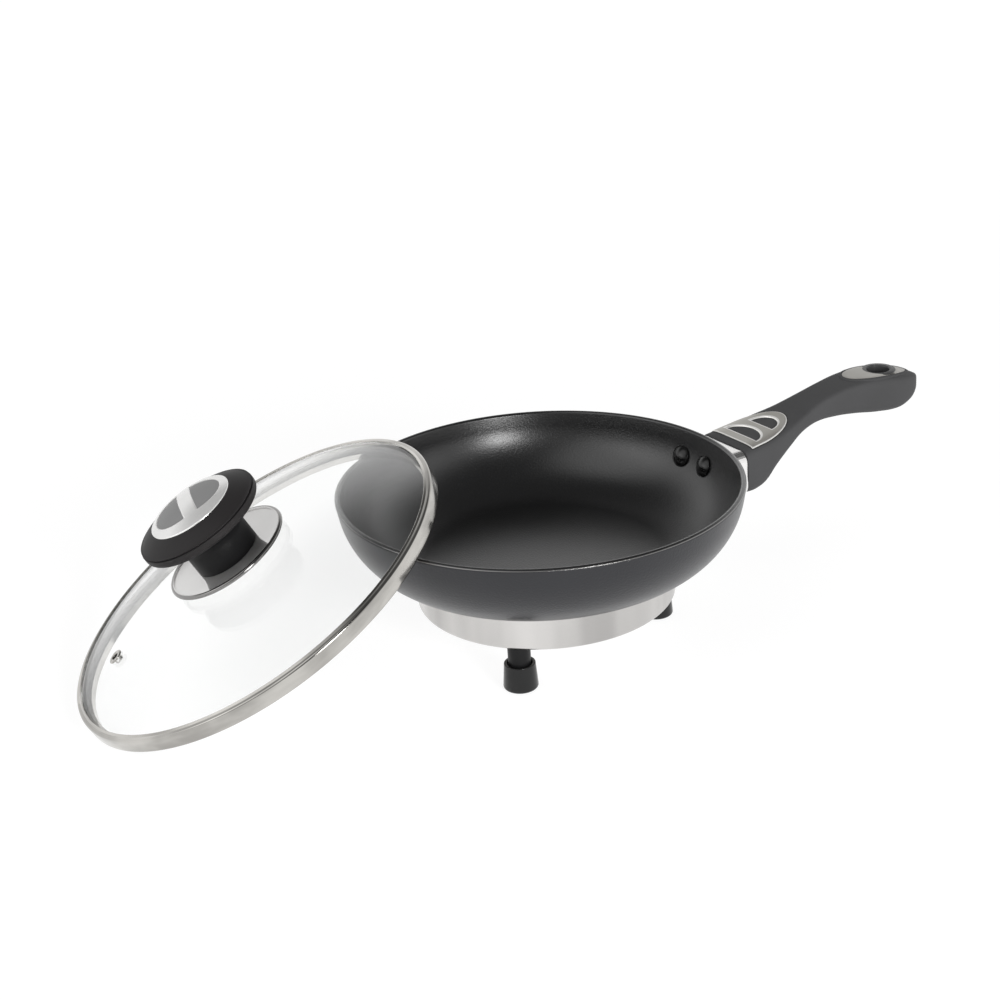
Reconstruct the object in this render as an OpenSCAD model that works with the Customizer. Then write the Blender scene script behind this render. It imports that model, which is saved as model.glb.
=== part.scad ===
// Electric skillet with a lift-off glass lid: a pressed non-stick pan on a steel
// heating base with three legs, a riveted handle and a lid that leans on the rim.
// Millimetres. Z is up, the worktop is z = 0, the pan's axis is the Z axis and the
// handle points along +X.

/* [Pan] */
// Outside radius of the pan at its rim
pan_rim_r = 105; // [95:1:125]
// Radius of the flat underside
pan_base_r = 62; // [52:1:66]
// Height of the pan from its underside to the rim
pan_height = 43; // [38:1:60]
// Thickness of the pressed aluminium
pan_wall = 3; // [2:0.25:4]
// Lean of the upper wall out from the vertical
pan_flare = 10; // [5:1:16]

/* [Base] */
// Height of the underside of the pan above the worktop
base_top = 43; // [38:1:52]
// Outside radius of the steel base cup
cup_r = 67.5; // [66:0.5:72]
// Height of the cup's underside above the worktop
cup_bottom = 24; // [20:0.5:25]
// Thickness of the cup's sheet
cup_sheet = 0.8; // [0.5:0.1:1.2]
// Radius of the cup's bottom edge
cup_round = 2.6; // [1.5:0.1:4]
// Turn of the legs about the pan's axis, from the handle
base_turn = -18; // [-30:1:-5]

/* [Legs] */
// Distance of the legs from the pan's axis
leg_circle_r = 60; // [52:0.5:66]
// Radius of a leg post
leg_r = 5.8; // [5:0.1:6]
// Outside radius of a rubber boot
boot_r = 8.9; // [8.4:0.1:10]
// Height of a rubber boot
boot_h = 14; // [10:0.5:16]
// Thickness of rubber under the post
boot_sole = 4; // [2:0.5:6]

/* [Heating] */
// Mean radius of the heating element's ring
element_ring_r = 44; // [38:0.5:48]
// Radius of the element's sheath
element_r = 3.3; // [2.5:0.1:3.5]
// Thickness of the heat spreader
spreader_t = 2; // [1:0.25:3]
// Radius of the heat spreader
spreader_r = 57; // [50:0.5:58]
// Radius of a terminal pin
pin_r = 2.4; // [2:0.1:2.6]
// Distance between the two terminal pins
pin_pitch = 24; // [21:0.5:27]
// Inside radius of the thermostat well
well_r = 3.2; // [2.5:0.1:3.4]
// Reach of the inlet guard from the pan's axis
guard_reach = 89; // [85:0.5:98]
// Width of the inlet guard
guard_w = 40; // [38:0.5:46]
// Height of the inlet guard
guard_h = 15; // [14:0.25:15.5]

/* [Handle] */
// Distance of the handle's root from the pan's axis
handle_root_x = 120.5; // [116:0.5:126]
// Length of the handle from its root to its tip
handle_length = 138; // [120:1:190]
// Half the width of the handle at its root
handle_half_w = 20.5; // [18:0.25:24]
// Height of the handle at its root
handle_depth = 26.5; // [24:0.5:30]
// Radius of the hanging hole
hang_r = 6.5; // [5:0.25:7]
// Thickness of the silver inlays
inlay_t = 1.6; // [1:0.1:2]
// Distance between the two rivets
rivet_pitch = 20; // [16:0.5:24]
// Radius of a rivet's shank
rivet_r = 2.5; // [2:0.1:3]
// Radius of a rivet's domed head
rivet_head_r = 5.8; // [4.5:0.1:6]

/* [Lid] */
// Outside radius of the lid's steel rim
lid_r = 106; // [96:0.5:126]
// Height of the lid's steel rim
lid_rim_h = 8.5; // [7:0.25:14]
// Thickness of the rim's sheet
lid_sheet = 0.7; // [0.5:0.1:1]
// Rise of the glass from the rim's top to its crown
glass_rise = 18; // [12:0.5:21]
// Thickness of the glass
glass_t = 4; // [3:0.25:5]
// Lean of the lid as it rests on the worktop and the pan's rim
lid_tilt = 29.1; // [27:0.1:32]
// Turn of the leaning lid about the pan's axis, from the handle
lid_turn = 162.5; // [140:0.5:200]
// Distance of the steam vent from the lid's axis
vent_circle_r = 75.5; // [60:0.5:84]
// Radius of the steam vent's hole
vent_r = 1.8; // [1.2:0.1:2.5]

/* [Knob] */
// Radius of the knob's cap
knob_r = 33; // [28:0.5:36]
// Height of the knob's neck, from the dish to the cap
knob_neck_h = 21; // [18:0.5:28]
// Radius of the neck at its waist
knob_neck_r = 17; // [13:0.5:18]
// Height of the knob's cap
knob_cap_h = 15; // [11:0.5:18]
// Radius of the steel dish under the knob
dish_r = 33; // [26:0.5:36]
// Depth of the steel dish
dish_depth = 1.25; // [1:0.25:4]
// Radius of the silver inlay on the knob
knob_inlay_r = 22.5; // [18:0.5:26]
// Radius of the knob's screw
knob_screw_r = 2.5; // [2:0.1:3]

/* [Hidden] */
// Gap between parts that only touch
touch_gap = 0.05;
// Gap between the lid and what it leans on
lean_gap = 0.3;
// Clearance of an inlay in its recess
inlay_gap = 0.15;
// Steps along a quarter of a curve
curve_steps = 12;
// Length by which a cutter runs past what it cuts
past = 1;

// Pan: the wall's mid-line is an arc that runs into a straight flared line
rim_z = base_top + pan_height;
half_wall = pan_wall / 2;
bead_x = pan_rim_r - half_wall;
bead_h = pan_height - half_wall;
mid_curve_r = (bead_x - pan_base_r - tan(pan_flare) * (bead_h - half_wall))
    / (cos(pan_flare) - tan(pan_flare) * (1 - sin(pan_flare)));
curve_r = mid_curve_r + half_wall;
curve_z = base_top + curve_r;

// Rivets sit on the curved wall, square to it
rivet_drop = 16;
rivet_lean = asin((curve_z - (rim_z - rivet_drop)) / curve_r);
rivet_wall_x = pan_base_r + curve_r * cos(rivet_lean);
rivet_angle = asin(rivet_pitch / 2 / rivet_wall_x);
rivet_head_h = 2.8;
rivet_tail_h = 1.6;
rivet_seat_gap = 0.45;

// Handle bracket: a flange on the wall, a collar and a tang
bracket_sheet = 1.5;
collar_inset = 0.7;
collar_half_w = handle_half_w - collar_inset;
collar_h = handle_depth - 2 * collar_inset;
collar_round = 6;
tang_half_w = 7;
tang_t = 4;
tang_share = 0.2;
tang_gap = 0.2;
handle_screw_share = 0.11;
handle_screw_r = 2.5;
handle_screw_head_r = 4.6;
handle_screw_head_h = 3;
flange_over = 5.4;
flange_beside = 7.4;
flange_high = rivet_lean - atan(flange_over / curve_r);
flange_half_angle = rivet_angle + atan(flange_beside / rivet_wall_x);
// Height of a cutter above and below the rim
cut_reach = 60;

// Handle: [share of the length, top and bottom from the rim as shares of the root's height,
// half width as a share of the root's]
handle_stations = [
    [0.000, -0.358, -1.358, 1],
    [0.025, -0.346, -1.425, 1],
    [0.061, -0.328, -1.435, 1],
    [0.110, -0.300, -1.340, 0.98],
    [0.153, -0.272, -1.095, 0.95],
    [0.235, -0.204, -0.774, 0.84],
    [0.327, -0.098, -0.536, 0.67],
    [0.429, 0.045, -0.445, 0.56],
    [0.542, 0.166, -0.475, 0.55],
    [0.644, 0.219, -0.543, 0.62],
    [0.756, 0.204, -0.649, 0.7],
    [0.858, 0.128, -0.694, 0.74],
    [0.920, 0.070, -0.610, 0.66],
    [0.957, 0.025, -0.490, 0.53],
    [0.985, -0.040, -0.360, 0.335],
    [1.000, -0.110, -0.250, 0.13]];
handle_rings = 38;
handle_sides = 36;
top_squareness = 6;
low_squareness = 2.6;
inlay_start = 0.036;
inlay_end = 0.301;
inlay_margin = 2.6;
inlay_proud = 0.3;
window_depth = 0.27;
ring_start = 0.636;
ring_end = 0.955;
ring_half_w = 10.4;
hang_share = 0.815;
hang_x = handle_root_x + hang_share * handle_length;
eyelet_wall = 2.6;
eyelet_proud = 1.2;
eyelet_sink = 0.4;

// Base
centre_stud_r = 3;
centre_washer_r = 8;
centre_washer_t = 1;
centre_nut_r = 5.5;
centre_nut_h = 4;
leg_screw_r = 2;
leg_screw_head_r = 3.6;
leg_screw_head_h = 2.4;
leg_screw_depth = 12;
post_bottom = boot_sole;
// The cup's wall clears the leg screws' heads
cup_wall_r = max(cup_r, leg_circle_r + leg_screw_head_r + cup_round + lean_gap);
// The cup's edge meets the curved underside of the pan
cup_over = max(cup_wall_r - cup_sheet - pan_base_r, 0);
cup_top = curve_z - sqrt(curve_r * curve_r - cup_over * cup_over) - touch_gap;
boot_sole_round = 1.6;
boot_taper = 0.9;
boot_top_round = 0.5;
boot_mouth_gap = 0.6;
boot_mouth_h = 2.5;
spreader_z = base_top - spreader_t;
element_z = spreader_z - element_r - touch_gap;
insulation_t = 3;
insulation_r = 54;
insulation_z = cup_bottom + cup_sheet;
element_gap_angle = 34;
cold_end_l = 4;
inlet_z = (cup_bottom + cup_sheet + base_top) / 2;
pin_outer = guard_reach - 4;
leg_clearance = 0.7;
// The guard starts just outside the screw of the leg beside it
guard_inner = leg_circle_r * sin(base_turn + 120) + leg_screw_head_r + leg_clearance;
pin_tail_l = 5;
pin_inner = guard_inner - pin_tail_l;
pin_collar = 0.8;
pin_nose = 2;
guard_wall = 2;
guard_back = 3;
well_wall = 0.8;
well_start = 30;
lead_r = 1.3;
fuse_r = 2;
fuse_len = 11;
clamp_w = 12;
clamp_t = 1.2;
stud_r = 2;
nut_r = 3.8;
nut_h = 3;

// Lid: the glass is a spherical cap that ends inside the rim's crimp
glass_r = lid_r - 2.2;
crimp_w = 2.2;
seat_round = 1.2;
lip_r = pan_rim_r - pan_wall - 1.6;
lip_drop = 2.2;
sphere_r = (glass_r * glass_r + glass_rise * glass_rise) / (2 * glass_rise);
edge_angle = asin(glass_r / sphere_r);
shoulder_r = 1.4;
shoulder_z = lid_rim_h - shoulder_r;
crimp_x = lid_r - shoulder_r + (shoulder_r - lid_sheet) * sin(edge_angle);
crimp_z = shoulder_z + (shoulder_r - lid_sheet) * cos(edge_angle);
glass_edge_z = crimp_z + (crimp_x - glass_r) * tan(edge_angle) - touch_gap;
glass_crown = glass_edge_z + glass_rise;
sphere_z = glass_crown - sphere_r;

// The leaning lid: its low edge stands on the worktop, and the lip under its rim crosses
// the pan's rim at two places, just above it
under_r = sphere_r - glass_t;
lip_edge_r = lip_r - lid_sheet;
lean_z = (lid_r - seat_round) * sin(lid_tilt) - seat_round * cos(lid_tilt) + seat_round + lean_gap;
cross_z = rim_z + 2 * lean_gap;
cross_cos = (lean_z - lip_drop * cos(lid_tilt) - cross_z) / (lip_edge_r * sin(lid_tilt));
cross_y = lip_edge_r * sqrt(1 - cross_cos * cross_cos);
lean_x = sqrt(bead_x * bead_x - cross_y * cross_y) - lip_edge_r * cross_cos * cos(lid_tilt)
    + lip_drop * sin(lid_tilt);

// Knob, measured up the lid's axis from its seat
gasket_t = 1;
gasket_r = 12;
dish_z = glass_crown + gasket_t;
dish_sheet = 0.8;
dish_flat_r = knob_neck_r + 2.5;
dish_bead = 1.2;
neck_z = dish_z + dish_sheet;
cap_z = neck_z + knob_neck_h;
cap_skirt_h = 5;
cap_groove = 0.7;
knob_inlay_t = 1.2;
knob_window_gap = 3.4;
insert_r = 4.5;
insert_h = 10;
washer_r = 9;
washer_t = 1.2;
screw_head_r = 5;
screw_head_h = 3.2;
// The washer's flat top meets the curved glass at its edge
washer_sag = under_r - sqrt(under_r * under_r - washer_r * washer_r);
vent_turn = -1;
eyelet_r = vent_r + 2.2;
eyelet_t = 0.5;

// Points on an arc about c, from angle a to angle b
function arc(c, r, a, b, n = curve_steps) =
    [for (i = [0:n]) c + r * [cos(a + (b - a) * i / n), sin(a + (b - a) * i / n)]];

// Smooth curve through a table of [x, value, ...], column k
function table_index(t, x, i = 0) = i >= len(t) - 2 || x < t[i + 1][0] ? i : table_index(t, x, i + 1);
function slope(t, k, i) =
    i == 0 ? (t[1][k] - t[0][k]) / (t[1][0] - t[0][0])
    : i == len(t) - 1 ? (t[i][k] - t[i - 1][k]) / (t[i][0] - t[i - 1][0])
    : (t[i + 1][k] - t[i - 1][k]) / (t[i + 1][0] - t[i - 1][0]);
function smooth(t, k, x) =
    let (
        i = table_index(t, x),
        w = t[i + 1][0] - t[i][0],
        u = (x - t[i][0]) / w,
        u2 = u * u,
        u3 = u2 * u)
    (2 * u3 - 3 * u2 + 1) * t[i][k] + (u3 - 2 * u2 + u) * w * slope(t, k, i)
        + (3 * u2 - 2 * u3) * t[i + 1][k] + (u3 - u2) * w * slope(t, k, i + 1);

// The pan's cross-section, grown outwards by extra
function pan_outer(extra) = arc([pan_base_r, curve_z], curve_r + extra, -90, -pan_flare);
module pan_section() {
    polygon(concat(
        [[0, base_top]],
        pan_outer(0),
        arc([bead_x, rim_z - half_wall], half_wall, -pan_flare, 180 - pan_flare),
        arc([pan_base_r, curve_z], curve_r - pan_wall, -pan_flare, -90),
        [[0, base_top + pan_wall]]));
}
// The solid that the pan's outside fills, grown by extra
module pan_block(extra) {
    rotate_extrude($fn = 120) polygon(concat(
        [[0, base_top - extra]],
        pan_outer(extra),
        [[pan_rim_r + extra, rim_z - half_wall], [0, rim_z - half_wall]]));
}

// Places children at each rivet, with Z along the rivet and out of the pan
module at_rivets() {
    for (side = [-1, 1])
        rotate([0, 0, side * rivet_angle])
            translate([pan_base_r, 0, curve_z])
                rotate([0, 90 + rivet_lean, 0])
                    translate([0, 0, curve_r]) children();
}

module pan() {
    color([0.12, 0.12, 0.13]) difference() {
        rotate_extrude($fn = 120) pan_section();
        at_rivets() translate([0, 0, -pan_wall - past])
            cylinder(r = rivet_r + touch_gap, h = pan_wall + 2 * past, $fn = 32);
    }
}

module handle_rivets() {
    color([0.06, 0.06, 0.06]) at_rivets() {
        shank_start = -pan_wall - rivet_seat_gap;
        translate([0, 0, shank_start])
            cylinder(r = rivet_r, h = pan_wall + rivet_seat_gap + bracket_sheet + rivet_seat_gap, $fn = 32);
        dome_r = (rivet_head_r * rivet_head_r + rivet_head_h * rivet_head_h) / (2 * rivet_head_h);
        translate([0, 0, shank_start]) intersection() {
            translate([0, 0, dome_r - rivet_head_h]) sphere(r = dome_r, $fn = 64);
            translate([0, 0, -rivet_head_h]) cylinder(r = rivet_head_r, h = rivet_head_h, $fn = 48);
        }
        translate([0, 0, bracket_sheet + rivet_seat_gap])
            cylinder(r = rivet_r + 1.6, h = rivet_tail_h, $fn = 32);
    }
}

module rounded_rect(half_w, h, r) {
    hull() for (y = [-1, 1], z = [0, 1])
        translate([y * (half_w - r), z * (h - 2 * r) + r]) circle(r = r, $fn = 32);
}

// Extrudes an outline in Y and Z along X, from x0 to x1
module along_x(x0, x1) {
    translate([x0, 0, 0]) rotate([90, 0, 90]) linear_extrude(x1 - x0) children();
}

// The collar meets the root of the handle, and the flange reaches down to its foot
collar_z = rim_z + handle_depth * (handle_stations[0][1] + handle_stations[0][2]) / 2;
flange_low = asin((curve_z - collar_z + collar_h / 2) / curve_r);
foot_wall_r = pan_base_r + curve_r * cos(flange_low);
collar_start_x = sqrt(foot_wall_r * foot_wall_r - collar_half_w * collar_half_w) - past;

module handle_bracket() {
    color([0.75, 0.75, 0.76]) difference() {
        union() {
            rotate([0, 0, -flange_half_angle]) rotate_extrude(angle = 2 * flange_half_angle, $fn = 120)
                polygon(concat(
                    arc([pan_base_r, curve_z], curve_r + touch_gap, -flange_low, -flange_high),
                    arc([pan_base_r, curve_z], curve_r + touch_gap + bracket_sheet,
                        -flange_high, -flange_low)));
            difference() {
                along_x(collar_start_x, handle_root_x - touch_gap) translate([0, collar_z - collar_h / 2])
                    difference() {
                        rounded_rect(collar_half_w, collar_h, collar_round);
                        translate([0, bracket_sheet])
                            rounded_rect(collar_half_w - bracket_sheet, collar_h - 2 * bracket_sheet,
                                collar_round - bracket_sheet);
                    }
                pan_block(touch_gap);
            }
            along_x(handle_root_x - bracket_sheet - touch_gap, handle_root_x - touch_gap)
                translate([0, collar_z - collar_h / 2]) rounded_rect(collar_half_w, collar_h, collar_round);
            tang(tang_half_w, tang_t, 0);
        }
        at_rivets() translate([0, 0, -past])
            cylinder(r = rivet_r + touch_gap, h = bracket_sheet + 2 * past, $fn = 32);
        translate([handle_screw_x, 0, tang_z(handle_screw_x) - tang_t])
            cylinder(r = handle_screw_r + touch_gap, h = 2 * tang_t, $fn = 32);
    }
}

// Handle: the smooth body through its stations
function handle_x(share) = handle_root_x + share * handle_length;
function handle_top(share) = rim_z + handle_depth * smooth(handle_stations, 1, share);
function handle_bottom(share) = rim_z + handle_depth * smooth(handle_stations, 2, share);
function handle_half(share) = handle_half_w * smooth(handle_stations, 3, share);
function signed_power(v, e) = sign(v) * pow(abs(v), e);
function handle_ring_points(share) =
    let (
        top = handle_top(share),
        low = handle_bottom(share),
        half = handle_half(share))
    [for (i = [0:handle_sides - 1])
        let (
            a = 360 * i / handle_sides,
            e = 2 / (a < 180 ? top_squareness : low_squareness))
        [handle_x(share),
            half * signed_power(cos(a), e),
            (top + low) / 2 + (top - low) / 2 * signed_power(sin(a), e)]];
// Rings lie closer together towards the tip
function ring_share(i) = sin(90 * i / (handle_rings - 1));

module handle_body() {
    rings = [for (i = [0:handle_rings - 1]) handle_ring_points(ring_share(i))];
    n = handle_sides;
    points = [for (ring = rings) each ring];
    walls = [for (i = [0:handle_rings - 2], j = [0:n - 1])
        let (a = i * n + j, b = i * n + (j + 1) % n)
        each [[a, a + n, b], [b, a + n, b + n]]];
    root_cap = [for (j = [1:n - 2]) [0, j, j + 1]];
    last = (handle_rings - 1) * n;
    tip_cap = [for (j = [1:n - 2]) [last, last + j + 1, last + j]];
    polyhedron(points, concat(walls, root_cap, tip_cap));
}

// The tang runs up the middle of the handle from the collar
tang_end_x = handle_x(tang_share);
tang_end_z = (handle_top(tang_share) + handle_bottom(tang_share)) / 2;
tang_slope = (tang_end_z - collar_z) / (tang_end_x - handle_root_x);
function tang_z(x) = collar_z + tang_slope * (x - handle_root_x);
handle_screw_x = handle_x(handle_screw_share);
screw_seat_z = tang_z(handle_screw_x) - tang_t / 2 - 3;
screw_tip_z = tang_z(handle_screw_x) + tang_t / 2 + 1.5;
handle_screw_reach = 30;
slot_w = 1.2;
module tang(half_w, t, longer) {
    x0 = handle_root_x - bracket_sheet;
    x1 = tang_end_x + longer;
    translate([0, half_w, 0]) rotate([90, 0, 0]) linear_extrude(2 * half_w) polygon([
        [x0, tang_z(x0) - t / 2], [x1, tang_z(x1) - t / 2],
        [x1, tang_z(x1) + t / 2], [x0, tang_z(x0) + t / 2]]);
}

// A strip that follows the handle's top between two shares of its length
module top_strip(a, b, below, above, half_w) {
    steps = 14;
    translate([0, half_w, 0]) rotate([90, 0, 0]) linear_extrude(2 * half_w) polygon(concat(
        [for (i = [0:steps]) let (s = a + (b - a) * i / steps) [handle_x(s), handle_top(s) - below]],
        [for (i = [steps:-1:0]) let (s = a + (b - a) * i / steps) [handle_x(s), handle_top(s) + above]]));
}

// Root inlay's outline: square at the pan, round towards the grip
module inlay_outline(gap) {
    x0 = handle_x(inlay_start);
    x1 = handle_x(inlay_end);
    half = handle_half(inlay_start) - inlay_margin;
    reach = x1 - x0;
    steps = 2 * curve_steps;
    offset(delta = gap) polygon(concat(
        [[x0, -half], [x0, half]],
        [for (i = [0:steps])
            let (a = 90 - 180 * i / steps)
            [x0 + reach * (0.22 + 0.78 * cos(a)), half * 0.98 * sin(a)]]));
}
// A half moon with its straight side on x = 0
module half_moon(w, d) {
    steps = 2 * curve_steps;
    polygon([for (i = [0:steps]) let (a = 180 * i / steps) [d * pow(sin(a), 0.8), w / 2 * cos(a)]]);
}
module inlay_windows() {
    reach = handle_x(inlay_end) - handle_x(inlay_start);
    half = handle_half(inlay_start) - inlay_margin;
    for (w = [[0.17, 1.5], [0.56, 1.08]])
        translate([handle_x(inlay_start) + w[0] * reach, 0]) half_moon(w[1] * half, window_depth * reach);
}

// Ring inlay's outline: a long oval about the hanging hole
module ring_outline(gap) {
    x0 = handle_x(ring_start);
    x1 = handle_x(ring_end);
    steps = 4 * curve_steps;
    polygon([for (i = [0:steps - 1])
        let (a = 360 * i / steps)
        [(x0 + x1) / 2 + ((x1 - x0) / 2 + gap) * cos(a),
            (ring_half_w + gap) * signed_power(sin(a), 0.9) * (1 - 0.12 * cos(a))]]);
}

module tall() {
    translate([0, 0, rim_z - cut_reach]) linear_extrude(2 * cut_reach) children();
}

module handle_grip() {
    color([0.16, 0.16, 0.17]) difference() {
        handle_body();
        intersection() {
            top_strip(-0.01, inlay_end + 0.02, inlay_t - inlay_proud, 6, handle_half_w);
            tall() inlay_outline(inlay_gap);
        }
        intersection() {
            top_strip(ring_start - 0.03, ring_end + 0.03, inlay_t - inlay_proud, 6, handle_half_w);
            tall() ring_outline(inlay_gap);
        }
        translate([hang_x, 0, rim_z - cut_reach])
            cylinder(r = hang_r + eyelet_wall + touch_gap, h = 2 * cut_reach, $fn = 64);
        tang(tang_half_w + tang_gap, tang_t + 2 * tang_gap, tang_gap);
        translate([handle_screw_x, 0, screw_seat_z - past])
            cylinder(r = handle_screw_r + touch_gap, h = screw_tip_z - screw_seat_z + 2 * past, $fn = 32);
        translate([handle_screw_x, 0, screw_seat_z - handle_screw_reach])
            cylinder(r = handle_screw_head_r + tang_gap, h = handle_screw_reach, $fn = 32);
    }
}

module handle_inlay() {
    color([0.8, 0.79, 0.77]) intersection() {
        top_strip(0, inlay_end + 0.01, inlay_t - inlay_proud - touch_gap, inlay_proud, handle_half_w);
        tall() difference() {
            inlay_outline(0);
            inlay_windows();
        }
    }
}

module handle_ring() {
    color([0.72, 0.72, 0.71]) difference() {
        intersection() {
            top_strip(ring_start - 0.02, ring_end + 0.02, inlay_t - inlay_proud - touch_gap, inlay_proud,
                handle_half_w);
            tall() ring_outline(0);
        }
        translate([hang_x, 0, rim_z - cut_reach])
            cylinder(r = hang_r + eyelet_wall + touch_gap, h = 2 * cut_reach, $fn = 64);
    }
}

// The eyelet lines the hanging hole and stands proud of the ring inlay
module hanging_eyelet() {
    low = handle_bottom(hang_share) + eyelet_sink;
    high = handle_top(hang_share) + eyelet_proud;
    color([0.25, 0.25, 0.26]) translate([hang_x, 0, low]) difference() {
        cylinder(r = hang_r + eyelet_wall, h = high - low, $fn = 64);
        translate([0, 0, -past]) cylinder(r = hang_r, h = high - low + 2 * past, $fn = 64);
    }
}

module handle_screw() {
    head_z = screw_seat_z - touch_gap - handle_screw_head_h;
    color([0.6, 0.6, 0.6]) translate([handle_screw_x, 0, head_z]) {
        difference() {
            cylinder(r = handle_screw_head_r, h = handle_screw_head_h, $fn = 32);
            translate([-slot_w / 2, -handle_screw_head_r, -past])
                cube([slot_w, 2 * handle_screw_head_r, past + slot_w]);
        }
        translate([0, 0, handle_screw_head_h])
            cylinder(r = handle_screw_r, h = screw_tip_z - head_z - handle_screw_head_h, $fn = 32);
    }
}

// Base: cup, legs and boots
module at_leg(i) {
    rotate([0, 0, base_turn + 120 * (i - 1)]) translate([leg_circle_r, 0, 0]) children();
}

// The way in for the guard, through the cup's wall
module guard_outline(grow) {
    translate([0, inlet_z]) square([guard_w + 2 * grow, guard_h + 2 * grow], center = true);
}
module along_y(y0, y1) {
    translate([0, y1, 0]) rotate([90, 0, 0]) linear_extrude(y1 - y0) children();
}

module base_cup() {
    color([0.78, 0.77, 0.76]) difference() {
        rotate_extrude($fn = 120) polygon(concat(
            [[0, cup_bottom]],
            arc([cup_wall_r - cup_round, cup_bottom + cup_round], cup_round, -90, 0, 6),
            [[cup_wall_r, cup_top], [cup_wall_r - cup_sheet, cup_top]],
            arc([cup_wall_r - cup_round, cup_bottom + cup_round], cup_round - cup_sheet, 0, -90, 6),
            [[0, cup_bottom + cup_sheet]]));
        for (i = [1:3]) at_leg(i) translate([0, 0, cup_bottom - past])
            cylinder(r = leg_screw_r + touch_gap, h = cup_sheet + 2 * past, $fn = 32);
        translate([0, 0, cup_bottom - past]) cylinder(r = centre_stud_r + touch_gap, h = 2 * past, $fn = 32);
        along_y(guard_inner - past, cup_wall_r + past) guard_outline(touch_gap);
    }
}

module centre_nut() {
    washer_z = cup_bottom - touch_gap - centre_washer_t;
    color([0.65, 0.65, 0.65]) difference() {
        union() {
            translate([0, 0, washer_z]) cylinder(r = centre_washer_r, h = centre_washer_t, $fn = 48);
            translate([0, 0, washer_z - centre_nut_h]) cylinder(r = centre_nut_r, h = centre_nut_h, $fn = 6);
        }
        translate([0, 0, washer_z - centre_nut_h - past])
            cylinder(r = centre_stud_r + touch_gap, h = cup_bottom, $fn = 32);
    }
}

module leg_post(i) {
    color([0.07, 0.07, 0.07]) at_leg(i) difference() {
        translate([0, 0, post_bottom]) cylinder(r = leg_r, h = cup_bottom - post_bottom, $fn = 48);
        translate([0, 0, cup_bottom - leg_screw_depth])
            cylinder(r = leg_screw_r + touch_gap, h = leg_screw_depth + past, $fn = 32);
    }
}

// A boot widens a little towards its sole and stands open round the post at its top
module foot_boot(i) {
    lip = boot_mouth_gap + touch_gap;
    top_r = boot_r - boot_taper;
    color([0.05, 0.05, 0.05]) at_leg(i) rotate_extrude($fn = 64) polygon(concat(
        [[0, 0]],
        arc([boot_r - boot_sole_round, boot_sole_round], boot_sole_round, -90, 0, 6),
        arc([top_r - boot_top_round, boot_h - boot_top_round], boot_top_round, 0, 90, 4),
        [[leg_r + lip, boot_h], [leg_r + lip, boot_h - boot_mouth_h],
            [leg_r + touch_gap, boot_h - boot_mouth_h - lip], [leg_r + touch_gap, boot_sole - touch_gap],
            [0, boot_sole - touch_gap]]));
}

module leg_screws() {
    color([0.6, 0.6, 0.6]) for (i = [1:3]) at_leg(i) {
        translate([0, 0, cup_bottom + cup_sheet]) difference() {
            cylinder(r = leg_screw_head_r, h = leg_screw_head_h, $fn = 32);
            translate([-leg_screw_head_r, -0.5, leg_screw_head_h - 1])
                cube([2 * leg_screw_head_r, 1, 1 + past]);
        }
        translate([0, 0, cup_bottom - leg_screw_depth + 1])
            cylinder(r = leg_screw_r, h = leg_screw_depth + cup_sheet - 1, $fn = 32);
    }
}

// Heating: a spreader under the pan, the element clamped to it, and the wiring
module at_clamps() {
    for (a = [210, 330]) rotate([0, 0, a]) translate([element_ring_r, 0, 0]) children();
}
stud_in = element_r + 5;

module heat_spreader() {
    color([0.75, 0.76, 0.78]) {
        translate([0, 0, spreader_z]) cylinder(r = spreader_r, h = spreader_t - touch_gap, $fn = 96);
        at_clamps() translate([-stud_in, 0, spreader_z - 2 * element_r - 4.5])
            cylinder(r = stud_r, h = 2 * element_r + 4.6, $fn = 24);
        stud_z = cup_bottom - centre_washer_t - centre_nut_h;
        translate([0, 0, stud_z]) cylinder(r = centre_stud_r, h = spreader_z + past / 2 - stud_z, $fn = 32);
    }
}

module heating_element() {
    end_a = element_gap_angle / 2;
    cold_x = element_ring_r * sin(end_a);
    cold_y = element_ring_r * cos(end_a);
    color([0.35, 0.34, 0.33]) {
        rotate([0, 0, 90 + end_a]) rotate_extrude(angle = 360 - element_gap_angle, $fn = 96)
            translate([element_ring_r, element_z]) circle(r = element_r, $fn = 32);
        for (side = [-1, 1]) translate([side * cold_x, cold_y, element_z])
            rotate([-90, 0, 0]) cylinder(r = element_r - 0.6, h = cold_end_l, $fn = 32);
    }
}

module element_clamps() {
    low = spreader_z - 2 * element_r - 2 * touch_gap;
    color([0.7, 0.7, 0.7]) at_clamps() difference() {
        translate([-stud_in - 4, -clamp_w / 2, low - clamp_t])
            cube([stud_in + element_r + 5, clamp_w, clamp_t]);
        translate([-stud_in, 0, low - clamp_t - past])
            cylinder(r = stud_r + touch_gap, h = clamp_t + 2 * past, $fn = 24);
    }
}

module clamp_nuts() {
    low = spreader_z - 2 * element_r - 2 * touch_gap - clamp_t - touch_gap;
    color([0.65, 0.65, 0.65]) at_clamps() translate([-stud_in, 0, low - nut_h]) difference() {
        cylinder(r = nut_r, h = nut_h, $fn = 6);
        translate([0, 0, -past]) cylinder(r = stud_r + touch_gap, h = nut_h + 2 * past, $fn = 24);
    }
}

module insulation_disc() {
    color([0.85, 0.83, 0.78]) difference() {
        translate([0, 0, insulation_z]) cylinder(r = insulation_r, h = insulation_t, $fn = 96);
        for (i = [1:3]) at_leg(i) translate([0, 0, insulation_z - past])
            cylinder(r = leg_screw_head_r + 0.6, h = insulation_t + 2 * past, $fn = 32);
        translate([0, 0, insulation_z - past])
            cylinder(r = centre_stud_r + past, h = insulation_t + 2 * past, $fn = 32);
        along_y(guard_inner - past, guard_reach) guard_outline(leg_clearance);
    }
}

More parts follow.
